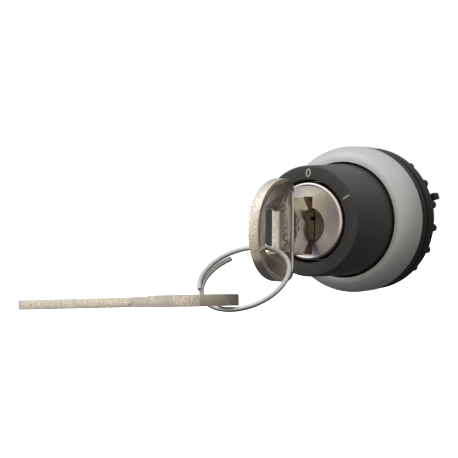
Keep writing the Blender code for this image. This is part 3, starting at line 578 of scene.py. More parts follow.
def sheared_metal(name):
    """The cut edge of a stamped key: pale and speckled with torn grain."""
    made, tree, shader = start_material(name)
    speck = noise(tree, 3400.0, detail=5.0)
    colours = ramp(tree, speck, [
        (0.32, (0.4, 0.35, 0.29)),
        (0.44, (0.56, 0.51, 0.44)),
        (0.62, (0.74, 0.69, 0.6)),
    ])
    tree.links.new(colours, shader.inputs["Base Color"])
    tree.links.new(spread(tree, speck, 0.46, 0.35), shader.inputs["Roughness"])
    shader.inputs["Metallic"].default_value = 1.0
    bump(tree, shader, speck, height_mm=0.03, strength=0.4)
    return made


def clouded_metal(name):
    """The lock's worn face: nickel that drifts from a cool grey to a warm cream."""
    made, tree, shader = start_material(name)
    cloud = noise(tree, 150.0, detail=3.0)
    colours = ramp(tree, cloud, [
        (0.38, (0.4, 0.395, 0.46)),
        (0.5, (0.46, 0.455, 0.49)),
        (0.62, (0.53, 0.52, 0.46)),
    ])
    tree.links.new(colours, shader.inputs["Base Color"])
    fine = noise(tree, 5200.0)
    tree.links.new(spread(tree, fine, 0.22, 0.3), shader.inputs["Roughness"])
    shader.inputs["Metallic"].default_value = 1.0
    bump(tree, shader, fine, height_mm=0.0005)
    return made


def plastics():
    """Finishes that are not bare metal."""
    return {
        "knob": surface("dark_grey_plastic", (0.035, 0.0355, 0.034), 0.5, specular=0.4),
        "body": surface("black_plastic", (0.013, 0.012, 0.011), 0.55, grain=7000, grain_mm=0.005,
                        specular=0.3),
        "legend": surface("legend_print", (0.46, 0.45, 0.41), 0.6, grain=6000, grain_mm=0.003, vary=0.06),
        "seal": surface("seal_rubber", (0.014, 0.014, 0.014), 0.75, grain=5000, grain_mm=0.006,
                        specular=0.3),
        "cam": surface("cam_plastic", (0.45, 0.03, 0.02), 0.4, grain=5000),
        "plunger": surface("plunger_plastic", (0.7, 0.66, 0.55), 0.38, grain=5000),
    }


def metals():
    """Plated, worn, cast and plain metal, and metal with a painted highlight and with painted shade for a
    few faces.
    """
    return {
        "bezel": surface("satin_silver", (0.5, 0.51, 0.51), 0.5, 0.5, grain=14000, grain_mm=0.002,
                         vary=0.03),
        "lock_face": surface("polished_nickel", (0.66, 0.63, 0.6), 0.24, 1.0, grain=5200,
                             grain_mm=0.002, vary=0.06),
        # Dark brown for the key recess: painted shade in the hollow.
        "keyway": surface("recess_painted_shade", (0.15, 0.115, 0.09), 0.4, 0.5, grain=4200,
                          grain_mm=0.008, vary=0.3, patch=600.0),
        "slot_wall": surface("bare_slot_metal", (0.5, 0.37, 0.29), 0.45, 0.2, grain=4200,
                             grain_mm=0.006, vary=0.25, patch=600.0),
        # Paler, glossier metal that paints a highlight on the bezel's lip and on the key's rear rim.
        "lip": surface("painted_highlight_metal", (0.78, 0.79, 0.8), 0.25, 1.0, grain_mm=0.001, vary=0.03),
        "die_cast": surface("die_cast_zinc", (0.42, 0.42, 0.43), 0.45, 1.0, grain=3000, grain_mm=0.01),
        "brass": surface("wafer_brass", (0.68, 0.5, 0.22), 0.32, 1.0, grain=4000, stretch=(1, 1, 8)),
        "steel": surface("spring_steel", (0.5, 0.5, 0.49), 0.4, 1.0, grain=4200, grain_mm=0.003,
                         vary=0.06),
        "key_metal": surface("key_nickel", (0.66, 0.6, 0.53), 0.24, 1.0, grain=5200, grain_mm=0.0006,
                             patch=260.0),
        "key_side": surface("key_brushed_side", (0.5, 0.46, 0.42), 0.36, 1.0, grain=5200,
                            grain_mm=0.0012, patch=240.0),
        "key_edge": sheared_metal("key_cut_edge"),
        "disc_face": clouded_metal("clouded_nickel"),
    }


def make_materials():
    """Every finish by the name of its slot in the record, and a few more for single faces."""
    return {**plastics(), **metals()}


# ---------------------------------------------------------------- pieces


def place(piece, body, slot, finishes, *nodes):
    """Gives a new piece its finish, its body and the CAD nodes it stands for."""
    if not piece.data.materials:
        piece.data.materials.append(finishes[slot])
    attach(piece, body)
    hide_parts(*nodes)
    return piece


def edge_points(radius, y, edge, towards):
    """The points of a rounded edge. towards is 1 where the piece lies on the +Y side of y."""
    return [(radius - inward, y + towards * along) for inward, along in edge]


def turn_about_axis(bm, degrees):
    """Turns a mark or tab from the top to its place round the switch's axis."""
    turn = Matrix.Rotation(math.radians(degrees), 3, "Y")
    bmesh.ops.rotate(bm, verts=bm.verts, cent=(0, 0, 0), matrix=turn)


def make_bezel(finishes):
    """The convex silver ring, with a rounded lip next to the knob that carries a painted highlight."""
    rear = BEZEL_HIGH.y
    shoulder = rear - BEZEL_SHOULDER
    width = BEZEL_RADIUS - BEZEL_INNER_RADIUS
    rise = shoulder - BEZEL_LOW.y
    crown = []
    # The lip takes the place of the crown's last few steps.
    for i in range(BEZEL_CROWN_STEPS - BEZEL_LIP_STEPS):
        angle = math.pi / 2 * i / BEZEL_CROWN_STEPS
        radius = BEZEL_INNER_RADIUS + width * math.cos(angle) ** BEZEL_CROWN_POWER
        crown.append((radius, shoulder - rise * math.sin(angle) ** BEZEL_CROWN_POWER))
    profile = [
        (BEZEL_RADIUS - BEZEL_REAR_EDGE, rear),
        (BEZEL_RADIUS, rear - BEZEL_REAR_EDGE),
        *crown,
        *arc(BEZEL_INNER_RADIUS + BEZEL_LIP_RADIUS, BEZEL_LOW.y + BEZEL_LIP_RADIUS,
             BEZEL_LIP_RADIUS, 270, 180, BEZEL_LIP_STEPS),
        (BEZEL_INNER_RADIUS, BEZEL_BORE_END_Y),
        (BEZEL_STEP_RADIUS, BEZEL_STEP_Y),
        (BEZEL_CAVITY_FRONT_RADIUS, BEZEL_CAVITY_Y),
        (BEZEL_CAVITY_RADIUS, rear),
    ]
    piece = finished("bezel", turned(profile, 192))
    piece.data.materials.append(finishes["bezel"])
    piece.data.materials.append(finishes["lip"])
    # Faces on the lip next to the bore get the paler metal of a painted highlight.
    for face in piece.data.polygons:
        x, y, z = face.center / MM
        near_bore = math.hypot(x, z) < BEZEL_INNER_RADIUS + HIGHLIGHT_LIP_WIDTH
        on_highlight_lip = near_bore and y < BEZEL_LOW.y + HIGHLIGHT_LIP_DEPTH
        face.material_index = 1 if on_highlight_lip else 0
    return place(piece, "housing", "bezel", finishes, "bezel_ring")


def thread(radius, y, angle):
    """A helical ridge on the shank, which dies away at both ends."""
    if not (THREAD_START_Y < y < THREAD_END_Y and abs(radius - THREAD_ROOT_RADIUS) < SMALL):
        return radius
    phase = ((y - THREAD_START_Y) / THREAD_PITCH - angle / (2 * math.pi)) % 1.0
    ridge = max(0.0, 1.0 - abs(phase - 0.5) * THREAD_STEEPNESS)
    fade = min(1.0, (y - THREAD_START_Y) / THREAD_FADE, (THREAD_END_Y - y) / THREAD_FADE)
    return radius + (THREAD_RADIUS - THREAD_ROOT_RADIUS) * ridge * fade


def make_body(finishes):
    """The black flange behind the bezel, the threaded shank and the lug."""
    end = BODY_HIGH.y
    collar = eased([
        (BODY_BORE_RADIUS, COLLAR_FRONT_Y),
        (COLLAR_RADIUS, COLLAR_FRONT_Y),
        (COLLAR_RADIUS, COLLAR_END_Y),
        (SPIGOT_FRONT_RADIUS, SPIGOT_FRONT_Y),
        (SPIGOT_RADIUS, FLANGE_FRONT_Y),
    ], COLLAR_EASE)[:-EASE_POINTS]
    rows = int((end - SHANK_PLAIN_END - FLANGE_REAR_Y) / SHANK_ROW)
    shank = [(THREAD_ROOT_RADIUS, FLANGE_REAR_Y + i * SHANK_ROW) for i in range(rows + 1)]
    profile = [
        *collar,
        (SPIGOT_RADIUS, FLANGE_FRONT_Y),
        *edge_points(BEZEL_RADIUS, FLANGE_FRONT_Y, FLANGE_FRONT_EDGE, 1),
        *edge_points(BEZEL_RADIUS, FLANGE_REAR_Y, FLANGE_REAR_EDGE, -1),
        *shank,
        *edge_points(THREAD_ROOT_RADIUS, end, SHANK_REAR_EDGE, -1),
        (BODY_CAVITY_RADIUS, end),
        (BODY_CAVITY_RADIUS, BODY_STOP_REAR_Y),
        (BODY_STOP_RADIUS, BODY_STOP_REAR_Y),
        (BODY_STOP_RADIUS, BODY_STOP_FRONT_Y),
        (BODY_BORE_RADIUS, BODY_STOP_FRONT_Y),
    ]
    piece = finished("flange_and_shank", turned(profile, BODY_SEGMENTS, thread), 30)
    outline = eased(box_outline(-LUG_HALF_WIDTH, LUG_HALF_WIDTH, LUG_FOOT_RADIUS, LUG_RADIUS), LUG_EASE)
    combine(piece, plate(outline, LUG_FRONT_Y, LUG_REAR_Y), "UNION")
    return place(piece, "housing", "body", finishes, "mounting_body")


def make_gasket(finishes):
    """The rubber ring behind the flange."""
    outline = box_outline(GASKET_BORE_RADIUS, GASKET_HIGH.x, GASKET_LOW.y, GASKET_HIGH.y)
    piece = finished("sealing_ring", turned(eased(outline, GASKET_EASE)))
    return place(piece, "housing", "seal", finishes, "panel_gasket")


def make_washer(finishes):
    """The metal ring that the nut presses on."""
    outline = box_outline(WASHER_BORE_RADIUS, WASHER_HIGH.x, WASHER_LOW.y, WASHER_HIGH.y)
    piece = finished("washer", turned(eased(outline, WASHER_EASE)))
    return place(piece, "nut_washer", "die_cast", finishes, "thrust_washer")


def make_knob(finishes):
    """The fixed dark knob that holds the lock, and its stem."""
    outline = [
        *[(KNOB_BORE_RADIUS + out, KNOB_FACE_Y + along) for out, along in KNOB_BORE_EDGE],
        *arc(KNOB_FACE_RADIUS - KNOB_EDGE, KNOB_FACE_Y + KNOB_EDGE, KNOB_EDGE, -90, -4, 8),
        (KNOB_BASE_RADIUS, KNOB_BASE_Y),
        (KNOB_BASE_RADIUS, KNOB_REAR_Y - KNOB_REAR_EDGE),
        (KNOB_BASE_RADIUS - KNOB_REAR_EDGE, KNOB_REAR_Y),
        (STEM_RADIUS, KNOB_REAR_Y),
        (STEM_RADIUS, STEM_SEAL_FRONT_Y),
        (STEM_SEAL_RADIUS, STEM_SEAL_FRONT_Y),
        (STEM_SEAL_RADIUS, STEM_SEAL_REAR_Y),
        (STEM_RADIUS, STEM_SEAL_REAR_Y),
        (STEM_RADIUS, STEM_END_Y),
        (SLEEVE_RADIUS, STEM_END_Y),
        (SLEEVE_RADIUS, CLIP_GROOVE_FRONT_Y),
        (CLIP_GROOVE_RADIUS, CLIP_GROOVE_FRONT_Y),
        (CLIP_GROOVE_RADIUS, CLIP_GROOVE_REAR_Y),
        (SLEEVE_RADIUS, CLIP_GROOVE_REAR_Y),
        (SLEEVE_RADIUS, KNOB_HIGH.y),
        (SLEEVE_BORE_RADIUS, KNOB_HIGH.y),
        (SLEEVE_BORE_RADIUS, KNOB_BORE_END_Y),
        (KNOB_BORE_RADIUS, KNOB_BORE_END_Y),
    ]
    piece = finished("knob", turned(outline, 160), 30)
    return place(piece, "housing", "knob", finishes, "lock_housing")


def leaning_oval(half_width, half_height):
    """One loop of the printed figure 0."""
    lean = math.radians(ZERO_LEAN_DEG)
    loop = []
    for i in range(ZERO_STEPS):
        angle = 2 * math.pi * i / ZERO_STEPS
        x = half_width * math.sin(angle)
        z = half_height * math.cos(angle)
        loop.append((
            x * math.cos(lean) + z * math.sin(lean),
            ZERO_Z + z * math.cos(lean) - x * math.sin(lean),
        ))
    return loop


def make_legends(finishes):
    """The printed figure 0 and the bar at the end of the key's turn."""
    front = KNOB_FACE_Y - PRINT_PROUD
    rear = KNOB_FACE_Y + PRINT_SUNK
    outer = leaning_oval(ZERO_HALF_WIDTH, ZERO_HALF_HEIGHT)
    inner = leaning_oval(ZERO_HALF_WIDTH - ZERO_STROKE, ZERO_HALF_HEIGHT - ZERO_STROKE)
    zero = finished("print_0", plate(outer, front, rear, [inner]))
    place(zero, "housing", "legend", finishes, "legend_0")
    outline = eased(box_outline(-BAR_HALF_WIDTH, BAR_HALF_WIDTH, BAR_INNER, BAR_OUTER), BAR_EASE)
    bar = plate(outline, front, rear)
    turn_about_axis(bar, TURN_DEG)
    place(finished("print_1", bar), "housing", "legend", finishes, "legend_1")


def wafer_slot(index):
    """The plug's slot for one wafer, with room beside it for the wafer's lug and spring."""
    side = 1 if index % 2 == 0 else -1
    half = WAFER_SLOT_HALF_WIDTH
    outline = [
        (half, -WAFER_SLOT_REACH),
        (half, WAFER_POCKET_LOW),
        (WAFER_POCKET_REACH, WAFER_POCKET_LOW),
        (WAFER_POCKET_REACH, WAFER_POCKET_HIGH),
        (half, WAFER_POCKET_HIGH),
        (half, WAFER_SLOT_REACH),
        (-half, WAFER_SLOT_REACH),
        (-half, -WAFER_SLOT_REACH),
    ]
    middle = WAFER_FIRST_Y + WAFER_PITCH * index
    turned_outline = [(side * x, side * z) for x, z in outline]
    return plate(turned_outline, middle - WAFER_SLOT_HALF, middle + WAFER_SLOT_HALF)


def key_recess():
    """The round recess in the disc, flared at its mouth and slightly domed at its floor."""
    mouth = DISC_FRONT_Y - CUT_PAST
    recess = turned([
        (0.0, mouth),
        (RECESS_RADIUS + RECESS_FLARE, mouth),
        (RECESS_RADIUS + RECESS_FLARE, DISC_FLAT_Y),
        (RECESS_RADIUS, DISC_FLAT_Y + RECESS_FLARE_DEPTH),
        (RECESS_RADIUS - RECESS_DOME, DISC_FRONT_Y + RECESS_DEPTH),
        (0.0, DISC_FRONT_Y + RECESS_DEPTH + RECESS_DOME),
    ], 64)
    bmesh.ops.translate(recess, verts=recess.verts, vec=(0, 0, BLADE_Z * MM))
    return recess


def key_slot(half_height, front, rear):
    """The slot for one part of the key, centred on the blade."""
    outline = box_outline(-SLOT_HALF, SLOT_HALF, BLADE_Z - half_height, BLADE_Z + half_height)
    return plate(outline, front, rear)


def finish_rotor(piece, finishes):
    """A worn face, dark brown in the recesses as painted shade, and bare slot walls on the disc; the rest
    is plain nickel.
    """
    for finish in LOCK_FINISHES:
        piece.data.materials.append(finishes[finish])
    for face in piece.data.polygons:
        x, y, z = face.center / MM
        if math.hypot(x, z) >= DISC_FLAT_RADIUS or y >= DISC_FINISH_END_Y:
            continue
        if y <= DISC_FLAT_Y + SUNK_BY:
            finish = "disc_face"
        elif abs(x) < SLOT_HALF + SMALL:
            finish = "slot_wall"
        else:
            # The recess's walls and floor get the dark brown of painted shade.
            finish = "keyway"
        face.material_index = LOCK_FINISHES.index(finish)


def make_rotor(finishes):
    """The nickel disc with its raised rim, keyway and key recess, and the slotted plug behind it."""
    rim_y = DISC_FRONT_Y + RIM_ROUND
    grooves = []
    for front, rear, radius in PLUG_GROOVES:
        grooves += [(PLUG_RADIUS, front), (radius, front), (radius, rear), (PLUG_RADIUS, rear)]
    outline = [
        (0.0, DISC_FLAT_Y),
        (DISC_FLAT_RADIUS, DISC_FLAT_Y),
        (RIM_FOOT_RADIUS, DISC_FLAT_Y - RIM_FOOT_RISE),
        *arc(RIM_RADIUS, rim_y, RIM_ROUND, 250, 290, 4),
        (RIM_OUTER_RADIUS, rim_y),
        *edge_points(DISC_RADIUS, DISC_FRONT_Y, DISC_EDGE, 1),
        (DISC_RADIUS, DISC_REAR_Y),
        (PLUG_RADIUS, DISC_REAR_Y),
        *grooves,
        (PLUG_RADIUS, PLUG_END_Y),
        (0.0, PLUG_END_Y),
    ]
    piece = finished("lock_core", turned(outline, 128), 30)
    combine(piece, key_recess(), "DIFFERENCE")
    for half, front, rear in (
        (SHANK_HALF_HEIGHT + SHANK_SLOT_GAP, DISC_FRONT_Y - CUT_PAST, SHANK_SLOT_END_Y),
        (BLADE_HALF_HEIGHT + BLADE_SLOT_GAP, BLADE_SLOT_START_Y, BLADE_SLOT_END_Y),
    ):
        combine(piece, key_slot(half, front, rear), "DIFFERENCE")
    for index in range(WAFER_COUNT):
        combine(piece, wafer_slot(index), "DIFFERENCE")
    tail = box_outline(-TAIL_HALF, TAIL_HALF, -TAIL_HALF, TAIL_HALF)
    combine(piece, plate(tail, TAIL_START_Y, ROTOR_HIGH.y), "UNION")
    bore = plate(circle(TAIL_BORE_RADIUS, 32), TAIL_START_Y, ROTOR_HIGH.y + CUT_PAST)
    combine(piece, bore, "DIFFERENCE")
    shade(piece, 30)
    finish_rotor(piece, finishes)
    return place(piece, "rotor", "lock_face", finishes, "lock_rotor")


def rib(radius, y, angle):
    """Grip ribs on the nut: round ridges along its side, domed at their ends."""
    if radius < RIB_LEAST_RADIUS or not RIB_FRONT_Y <= y <= RIB_REAR_Y:
        return radius
    pitch = 2 * math.pi / RIB_COUNT
    off = (angle - math.radians(FIRST_RIB_DEG) + pitch / 2) % pitch - pitch / 2
    side = RIB_CIRCLE * math.sin(off)
    if abs(side) >= RIB_RADIUS:
        return radius
    fade = min(1.0, (y - RIB_FRONT_Y) / RIB_FRONT_FADE, (RIB_REAR_Y - y) / RIB_REAR_FADE)
    top = RIB_CIRCLE * math.cos(off) + math.sqrt(RIB_RADIUS ** 2 - side ** 2)
    return max(radius, radius + (top - radius) * math.sqrt(max(0.0, fade)))


def make_nut(finishes):
    """The tapered black ring nut with its ribs and tab."""
    front = NUT_LOW.y
    seat_radius = WASHER_HIGH.x + NUT_SEAT_GAP
    seat_y = WASHER_HIGH.y + NUT_SEAT_GAP
    taper = []
    for i in range(NUT_TAPER_ROWS + 1):
        part = i / NUT_TAPER_ROWS
        taper.append((
            NUT_FRONT_RADIUS + (NUT_REAR_RADIUS - NUT_FRONT_RADIUS) * part,
            NUT_TAPER_Y + (NUT_TAPER_END_Y - NUT_TAPER_Y) * part,
        ))
    profile = [
        (NUT_POCKET_RADIUS, NUT_POCKET_END_Y),
        (NUT_POCKET_RADIUS, seat_y),
        (seat_radius, seat_y),
        (seat_radius, front),
        *edge_points(NUT_FRONT_RADIUS, front, NUT_FRONT_EDGE, 1),
        *taper,
        *edge_points(NUT_REAR_RADIUS, NUT_REAR_Y, NUT_REAR_EDGE, -1),
        (NUT_BORE_RADIUS + NUT_BORE_EASE, NUT_REAR_Y),
        (NUT_BORE_RADIUS, NUT_REAR_Y - NUT_BORE_EASE),
        (NUT_BORE_RADIUS, NUT_POCKET_END_Y),
    ]
    piece = finished("grip_nut", turned(profile, NUT_SEGMENTS, rib), 30)
    outline = eased(box_outline(-TAB_HALF_WIDTH, TAB_HALF_WIDTH, TAB_FOOT_RADIUS, TAB_RADIUS), TAB_EASE)
    tab = plate(outline, NUT_REAR_Y - TAB_LENGTH, NUT_HIGH.y)
    turn_about_axis(tab, TAB_DEG)
    combine(piece, tab, "UNION")
    return place(piece, "ring_nut", "body", finishes, "ring_nut")


def make_cover(finishes):
    """The rear cup, with holes for the push rods and the cam's screw."""
    rear = COVER_HIGH.y
    outline = eased([
        (COVER_BORE_RADIUS, COVER_LOW.y),
        (COVER_SLEEVE_RADIUS, COVER_LOW.y),
        (COVER_SLEEVE_RADIUS, COVER_STEP_Y),
        (COVER_HIGH.x, COVER_STEP_Y),
        (COVER_HIGH.x, rear),
        (COVER_HOLE_RADIUS, rear),
        (COVER_HOLE_RADIUS, rear - COVER_FLOOR),
        (COVER_BORE_RADIUS, rear - COVER_FLOOR),
    ], COVER_EASE)
    piece = finished("end_cover", turned(outline))
    for side in (-1, 1):
        hole = circle(PLUNGER_HOLE_RADIUS, 48, (side * PLUNGER_OFFSET, 0.0))
        combine(piece, plate(hole, rear - COVER_CUT_DEPTH, rear + CUT_PAST), "DIFFERENCE")
    return place(piece, "housing", "body", finishes, "rear_cover")


def make_plungers(finishes):
    """Push rods with a domed nose, a spring collar and a tail."""
    for label in ("left", "right"):
        body = f"plunger_{label}"
        low, high = extent(body)
        collar = low.y + PLUNGER_RADIUS
        outline = [
            (0.0, low.y),
            *arc(0, collar, PLUNGER_RADIUS, -90, 0, 12)[1:],
            (PLUNGER_RADIUS, collar),
            (PLUNGER_COLLAR_RADIUS, collar),
            (PLUNGER_COLLAR_RADIUS, collar + PLUNGER_COLLAR),
            (PLUNGER_RADIUS, collar + PLUNGER_COLLAR),
            (PLUNGER_RADIUS, high.y - PLUNGER_TAIL_EDGE),
            (PLUNGER_RADIUS - PLUNGER_TAIL_EDGE, high.y),
            (0.0, high.y),
        ]
        bm = turned(outline, 48)
        bmesh.ops.translate(bm, verts=bm.verts, vec=((low.x + high.x) / 2 * MM, 0, 0))
        place(finished(f"push_rod_{label}", bm), body, "plunger", finishes, body)


# ---------------------------------------------------------------- keys and ring


def bow_outline(rim, rear_rim):
    """The bow's round outline, drawn in by a rim width, as (along, across) points."""
    half = BOW_HALF_HEIGHT - rim
    front = BOW_WAIST - rim
    reach = BOW_LENGTH - rear_rim - BOW_WAIST
    straight = half - BOW_REAR_CORNER
    upper = []
    for i in range(BOW_CORNER_STEPS + 1):
        angle = math.pi / 2 * i / BOW_CORNER_STEPS
        upper.append((BOW_WAIST + reach * math.cos(angle), straight + BOW_REAR_CORNER * math.sin(angle)))
    for i in range(1, BOW_ROUND_STEPS + 1):
        angle = math.pi / 2 * i / BOW_ROUND_STEPS
        upper.append((
            BOW_WAIST - front * math.sin(angle) ** BOW_ROUND_POWER,
            half * math.cos(angle) ** BOW_ROUND_POWER,
        ))
    lower = [(along, -across) for along, across in reversed(upper[:-1])]
    return upper + lower


def blade_edge(depths):
    """One edge of shank and blade, with its shoulder, cuts and tip, as (along, height) points."""
    edge = [
        (SHANK_ROOT, SHANK_HALF_HEIGHT),
        (SHANK_END, SHANK_HALF_HEIGHT),
        (BLADE_START, BLADE_HALF_HEIGHT),
    ]
    for i, depth in enumerate(depths):
        middle = FIRST_CUT + CUT_PITCH * i
        edge += [
            (middle - CUT_MOUTH_HALF, BLADE_HALF_HEIGHT),
            (middle - CUT_FLOOR_HALF, BLADE_HALF_HEIGHT - depth),
            (middle + CUT_FLOOR_HALF, BLADE_HALF_HEIGHT - depth),
            (middle + CUT_MOUTH_HALF, BLADE_HALF_HEIGHT),
        ]
    edge += [(KEY_LENGTH - TIP_LENGTH, BLADE_HALF_HEIGHT), (KEY_LENGTH, TIP_HALF_HEIGHT)]
    return edge


def key_plate(outline, half_thickness, offset=0.0, holes=()):
    """A plate in the key's own frame, from (along, across) points."""
    bm = plate(outline, offset - half_thickness, offset + half_thickness, holes)
    to_key = Matrix(((0, 1, 0), (1, 0, 0), (0, 0, 1)))
    bmesh.ops.transform(bm, verts=bm.verts, matrix=to_key.to_4x4())
    bmesh.ops.recalc_face_normals(bm, faces=bm.faces)
    return bm


def hole_tool():
    """The ring's hole, narrowest at mid-thickness and flared towards both faces."""
    corners = (
        (HOLE_REAR - HOLE_CORNER, HOLE_TOP - HOLE_CORNER),
        (HOLE_FRONT + HOLE_CORNER, HOLE_TOP - HOLE_CORNER),
        (HOLE_FRONT + HOLE_CORNER, HOLE_BOTTOM + HOLE_CORNER),
        (HOLE_REAR - HOLE_CORNER, HOLE_BOTTOM + HOLE_CORNER),
    )
    sections = (
        (-HOLE_REACH, HOLE_EASE),
        (-HOLE_LAND, 0.0),
        (HOLE_LAND, 0.0),
        (HOLE_REACH, HOLE_EASE),
    )
    bm = bmesh.new()
    loops = []
    for thick, grow in sections:
        points = []
        for quarter, (along, across) in enumerate(corners):
            start = 90 * quarter
            points += arc(along, across, HOLE_CORNER + grow, start, start + 90, HOLE_CORNER_STEPS)
        loops.append([bm.verts.new((thick * MM, along * MM, across * MM)) for along, across in points])
    join_loops(bm, loops)
    bmesh.ops.recalc_face_normals(bm, faces=bm.faces)
    return bm


def make_key_mesh(name, finishes):
    """Bow with a raised rim, plain raised marks, the ring's hole, and the grooved and cut blade."""
    key = finished(name, key_plate(bow_outline(0, 0), BOW_HALF_THICKNESS))
    upper = [(along, BLADE_RISE + height) for along, height in blade_edge(())]
    lower = [(along, BLADE_RISE - height) for along, height in reversed(blade_edge(CUT_DEPTHS))]
    combine(key, key_plate(upper + lower, BLADE_HALF_THICKNESS), "UNION")
    field = bow_outline(BOW_RIM, BOW_REAR_RIM)
    groove = box_outline(GROOVE_START, KEY_LENGTH + CUT_PAST, GROOVE_LOW, GROOVE_HIGH)
    for side in (-1, 1):
        combine(key, key_plate(field, FIELD_DEPTH, side * BOW_HALF_THICKNESS), "DIFFERENCE")
        combine(key, key_plate(groove, GROOVE_DEPTH, side * BLADE_HALF_THICKNESS), "DIFFERENCE")
    combine(key, hole_tool(), "DIFFERENCE")
    for side in (-1, 1):
        for mark, holes in bow_marks():
            raised = key_plate(mark, MARK_HALF_THICKNESS, side * (FIELD_FLOOR + MARK_RISE), holes)
            combine(key, raised, "UNION")
        for across in STAMP_ACROSS:
            outer = circle(STAMP_OUTER_RADIUS, 32, (STAMP_ALONG, across))
            inner = circle(STAMP_INNER_RADIUS, 32, (STAMP_ALONG, across))
            stamp = key_plate(outer, STAMP_DEPTH, side * BLADE_HALF_THICKNESS, [inner])
            combine(key, stamp, "DIFFERENCE")
    ease_edges(key, KEY_EASE)
    for finish in KEY_FINISHES:
        key.data.materials.append(finishes[finish])
    return key


def finish_key(mesh, smooth_stretches):
    """A rear rim painted with a highlight, grained tops on the marks and a grained edge, smooth on given
    stretches.
    """
    for face in mesh.polygons:
        thick, along, _ = face.center / MM
        thick = abs(thick)
        on_mark = MARK_TOP_FROM < thick < MARK_TOP_TO
        # The bow's rear rim gets the paler metal of a painted highlight.
        on_rim_highlight = thick > FIELD_FLOOR + SMALL and RIM_HIGHLIGHT_FROM < along < BOW_LENGTH
        if on_rim_highlight:
            finish = "lip"
        elif abs(face.normal.x) >= BROAD_SIDE:
            finish = "key_edge" if on_mark and along < BOW_LENGTH else "key_metal"
        elif on_mark or any(low < along < high for low, high in smooth_stretches):
            finish = "key_side"
        else:
            finish = "key_edge"
        face.material_index = KEY_FINISHES.index(finish)


def bow_marks():
    """Plain raised bars in a column beside the hole, and two rings below, as (outline, holes) pairs."""
    marks = []
    for i in range(BAR_MARK_COUNT):
        across = BAR_MARK_FIRST - BAR_MARK_PITCH * i
        half = BAR_MARK_HEIGHTS[i % 2] / 2
        outline = box_outline(BAR_MARK_FRONT, BAR_MARK_REAR, across - half, across + half)
        marks.append((eased(outline, BAR_MARK_EASE), []))
    for outer, inner in RING_MARK_RADII:
        marks.append((circle(outer, 40, RING_MARK_CENTRE), [circle(inner, 40, RING_MARK_CENTRE)]))
    return marks


def make_keys(finishes):
    """The key in the lock, and its copy, the spare, in the place that KEY_2 gives."""
    key = make_key_mesh("key_in_use", finishes)
    key.location = KEY_1_PLACE * MM
    place(key, "key_in_lock", "key_metal", finishes, "key_1")
    spare = bpy.data.objects.new("key_spare", key.data.copy())
    finish_key(key.data, [SMOOTH_TIP])
    finish_key(spare.data, [SMOOTH_TIP, *SPARE_SMOOTH])
    bpy.context.scene.collection.objects.link(spare)
    across = (KEY_2_ACROSS - KEY_2_ALONG * KEY_2_ACROSS.dot(KEY_2_ALONG)).normalized()
    thick = KEY_2_ALONG.cross(across)
    turn = Matrix((thick, KEY_2_ALONG, across)).transposed()
    spare.data.transform(Matrix.Translation(KEY_2_PLACE * MM) @ turn.to_4x4())
    place(spare, "spare_key", "key_metal", finishes, "key_2")


def make_ring(finishes):
    """The wire ring, nearly one and a quarter turns, slightly narrower at its two ends."""
    across = Vector((1, 0, 0))
    across = (across - RING_NORMAL * across.dot(RING_NORMAL)).normalized()
    other = RING_NORMAL.cross(across)
    bm = bmesh.new()
    loops = []
    for i in range(RING_STEPS + 1):
        part = i / RING_STEPS
        angle = math.radians(RING_START_DEG + (RING_END_DEG - RING_START_DEG) * part)
        outward = across * math.cos(angle) + other * math.sin(angle)
        middle = RING_CENTRE + outward * RING_RADIUS + RING_NORMAL * RING_CLIMB * (part - 0.5)
        radius = RING_WIRE_RADIUS * (RING_END_SHARE if i in (0, RING_STEPS) else 1.0)
        loop = []
        for k in range(RING_WIRE_SIDES):
            round_wire = 2 * math.pi * k / RING_WIRE_SIDES
            off = outward * math.cos(round_wire) + RING_NORMAL * math.sin(round_wire)
            loop.append(bm.verts.new((middle + off * radius) * MM))
        loops.append(loop)
    join_loops(bm, loops)
    place(finished("split_ring", bm), "ring", "steel", finishes, "key_ring")


# ---------------------------------------------------------------- camera, floor and light

# Lengths in this section are in metres, apart from the lens's own two sizes.
SENSOR_WIDTH_MM = 36.0
LENS_MM = 102.18
CAMERA_PLACE = Vector((0.12317, -0.2402, 0.00702))
CAMERA_LOOK = Vector((-0.5447, 0.8379, -0.0345)).normalized()
CAMERA_RIGHT = Vector((0.8383, 0.5452, 0.0056))

# The room's colours, and the part of each direction over which one gives way to the next.
LEFT = (1.05, 1.08, 1.1)
RIGHT = (0.5, 0.44, 0.38)
FRONT = (1.1, 1.05, 0.97)
BEHIND = (0.19, 0.172, 0.155)
ABOVE = (1.05, 1.05, 1.05)
BELOW = (0.075, 0.078, 0.085)
LEFT_TO_RIGHT = (-0.6, 0.9)
SIDES_TO_FRONT = (-0.3, -0.9)
FRONT_TO_BEHIND = (0.25, 0.8)
LEVEL_TO_ABOVE = (0.15, 0.75)
LEVEL_TO_BELOW = (-0.05, -0.55)
SEEN_BACKGROUND = (1.0, 1.0, 1.0)

FLOOR_HALF_SIZE = 4.0
FLOOR_PLACE = (0, -0.02, -0.12)
FLOOR_GREY = 0.9
LAMP_AIM = Vector((0, -0.02, 0))


def make_camera():
    lens = bpy.data.cameras.new("camera")
    lens.sensor_width = SENSOR_WIDTH_MM
    lens.lens = LENS_MM
    camera = bpy.data.objects.new("camera", lens)
    bpy.context.scene.collection.objects.link(camera)
    right = (CAMERA_RIGHT - CAMERA_LOOK * CAMERA_RIGHT.dot(CAMERA_LOOK)).normalized()
    up = right.cross(CAMERA_LOOK)
    turn = Matrix((right, up, -CAMERA_LOOK)).transposed()
    camera.matrix_world = Matrix.Translation(CAMERA_PLACE) @ turn.to_4x4()
    bpy.context.scene.camera = camera


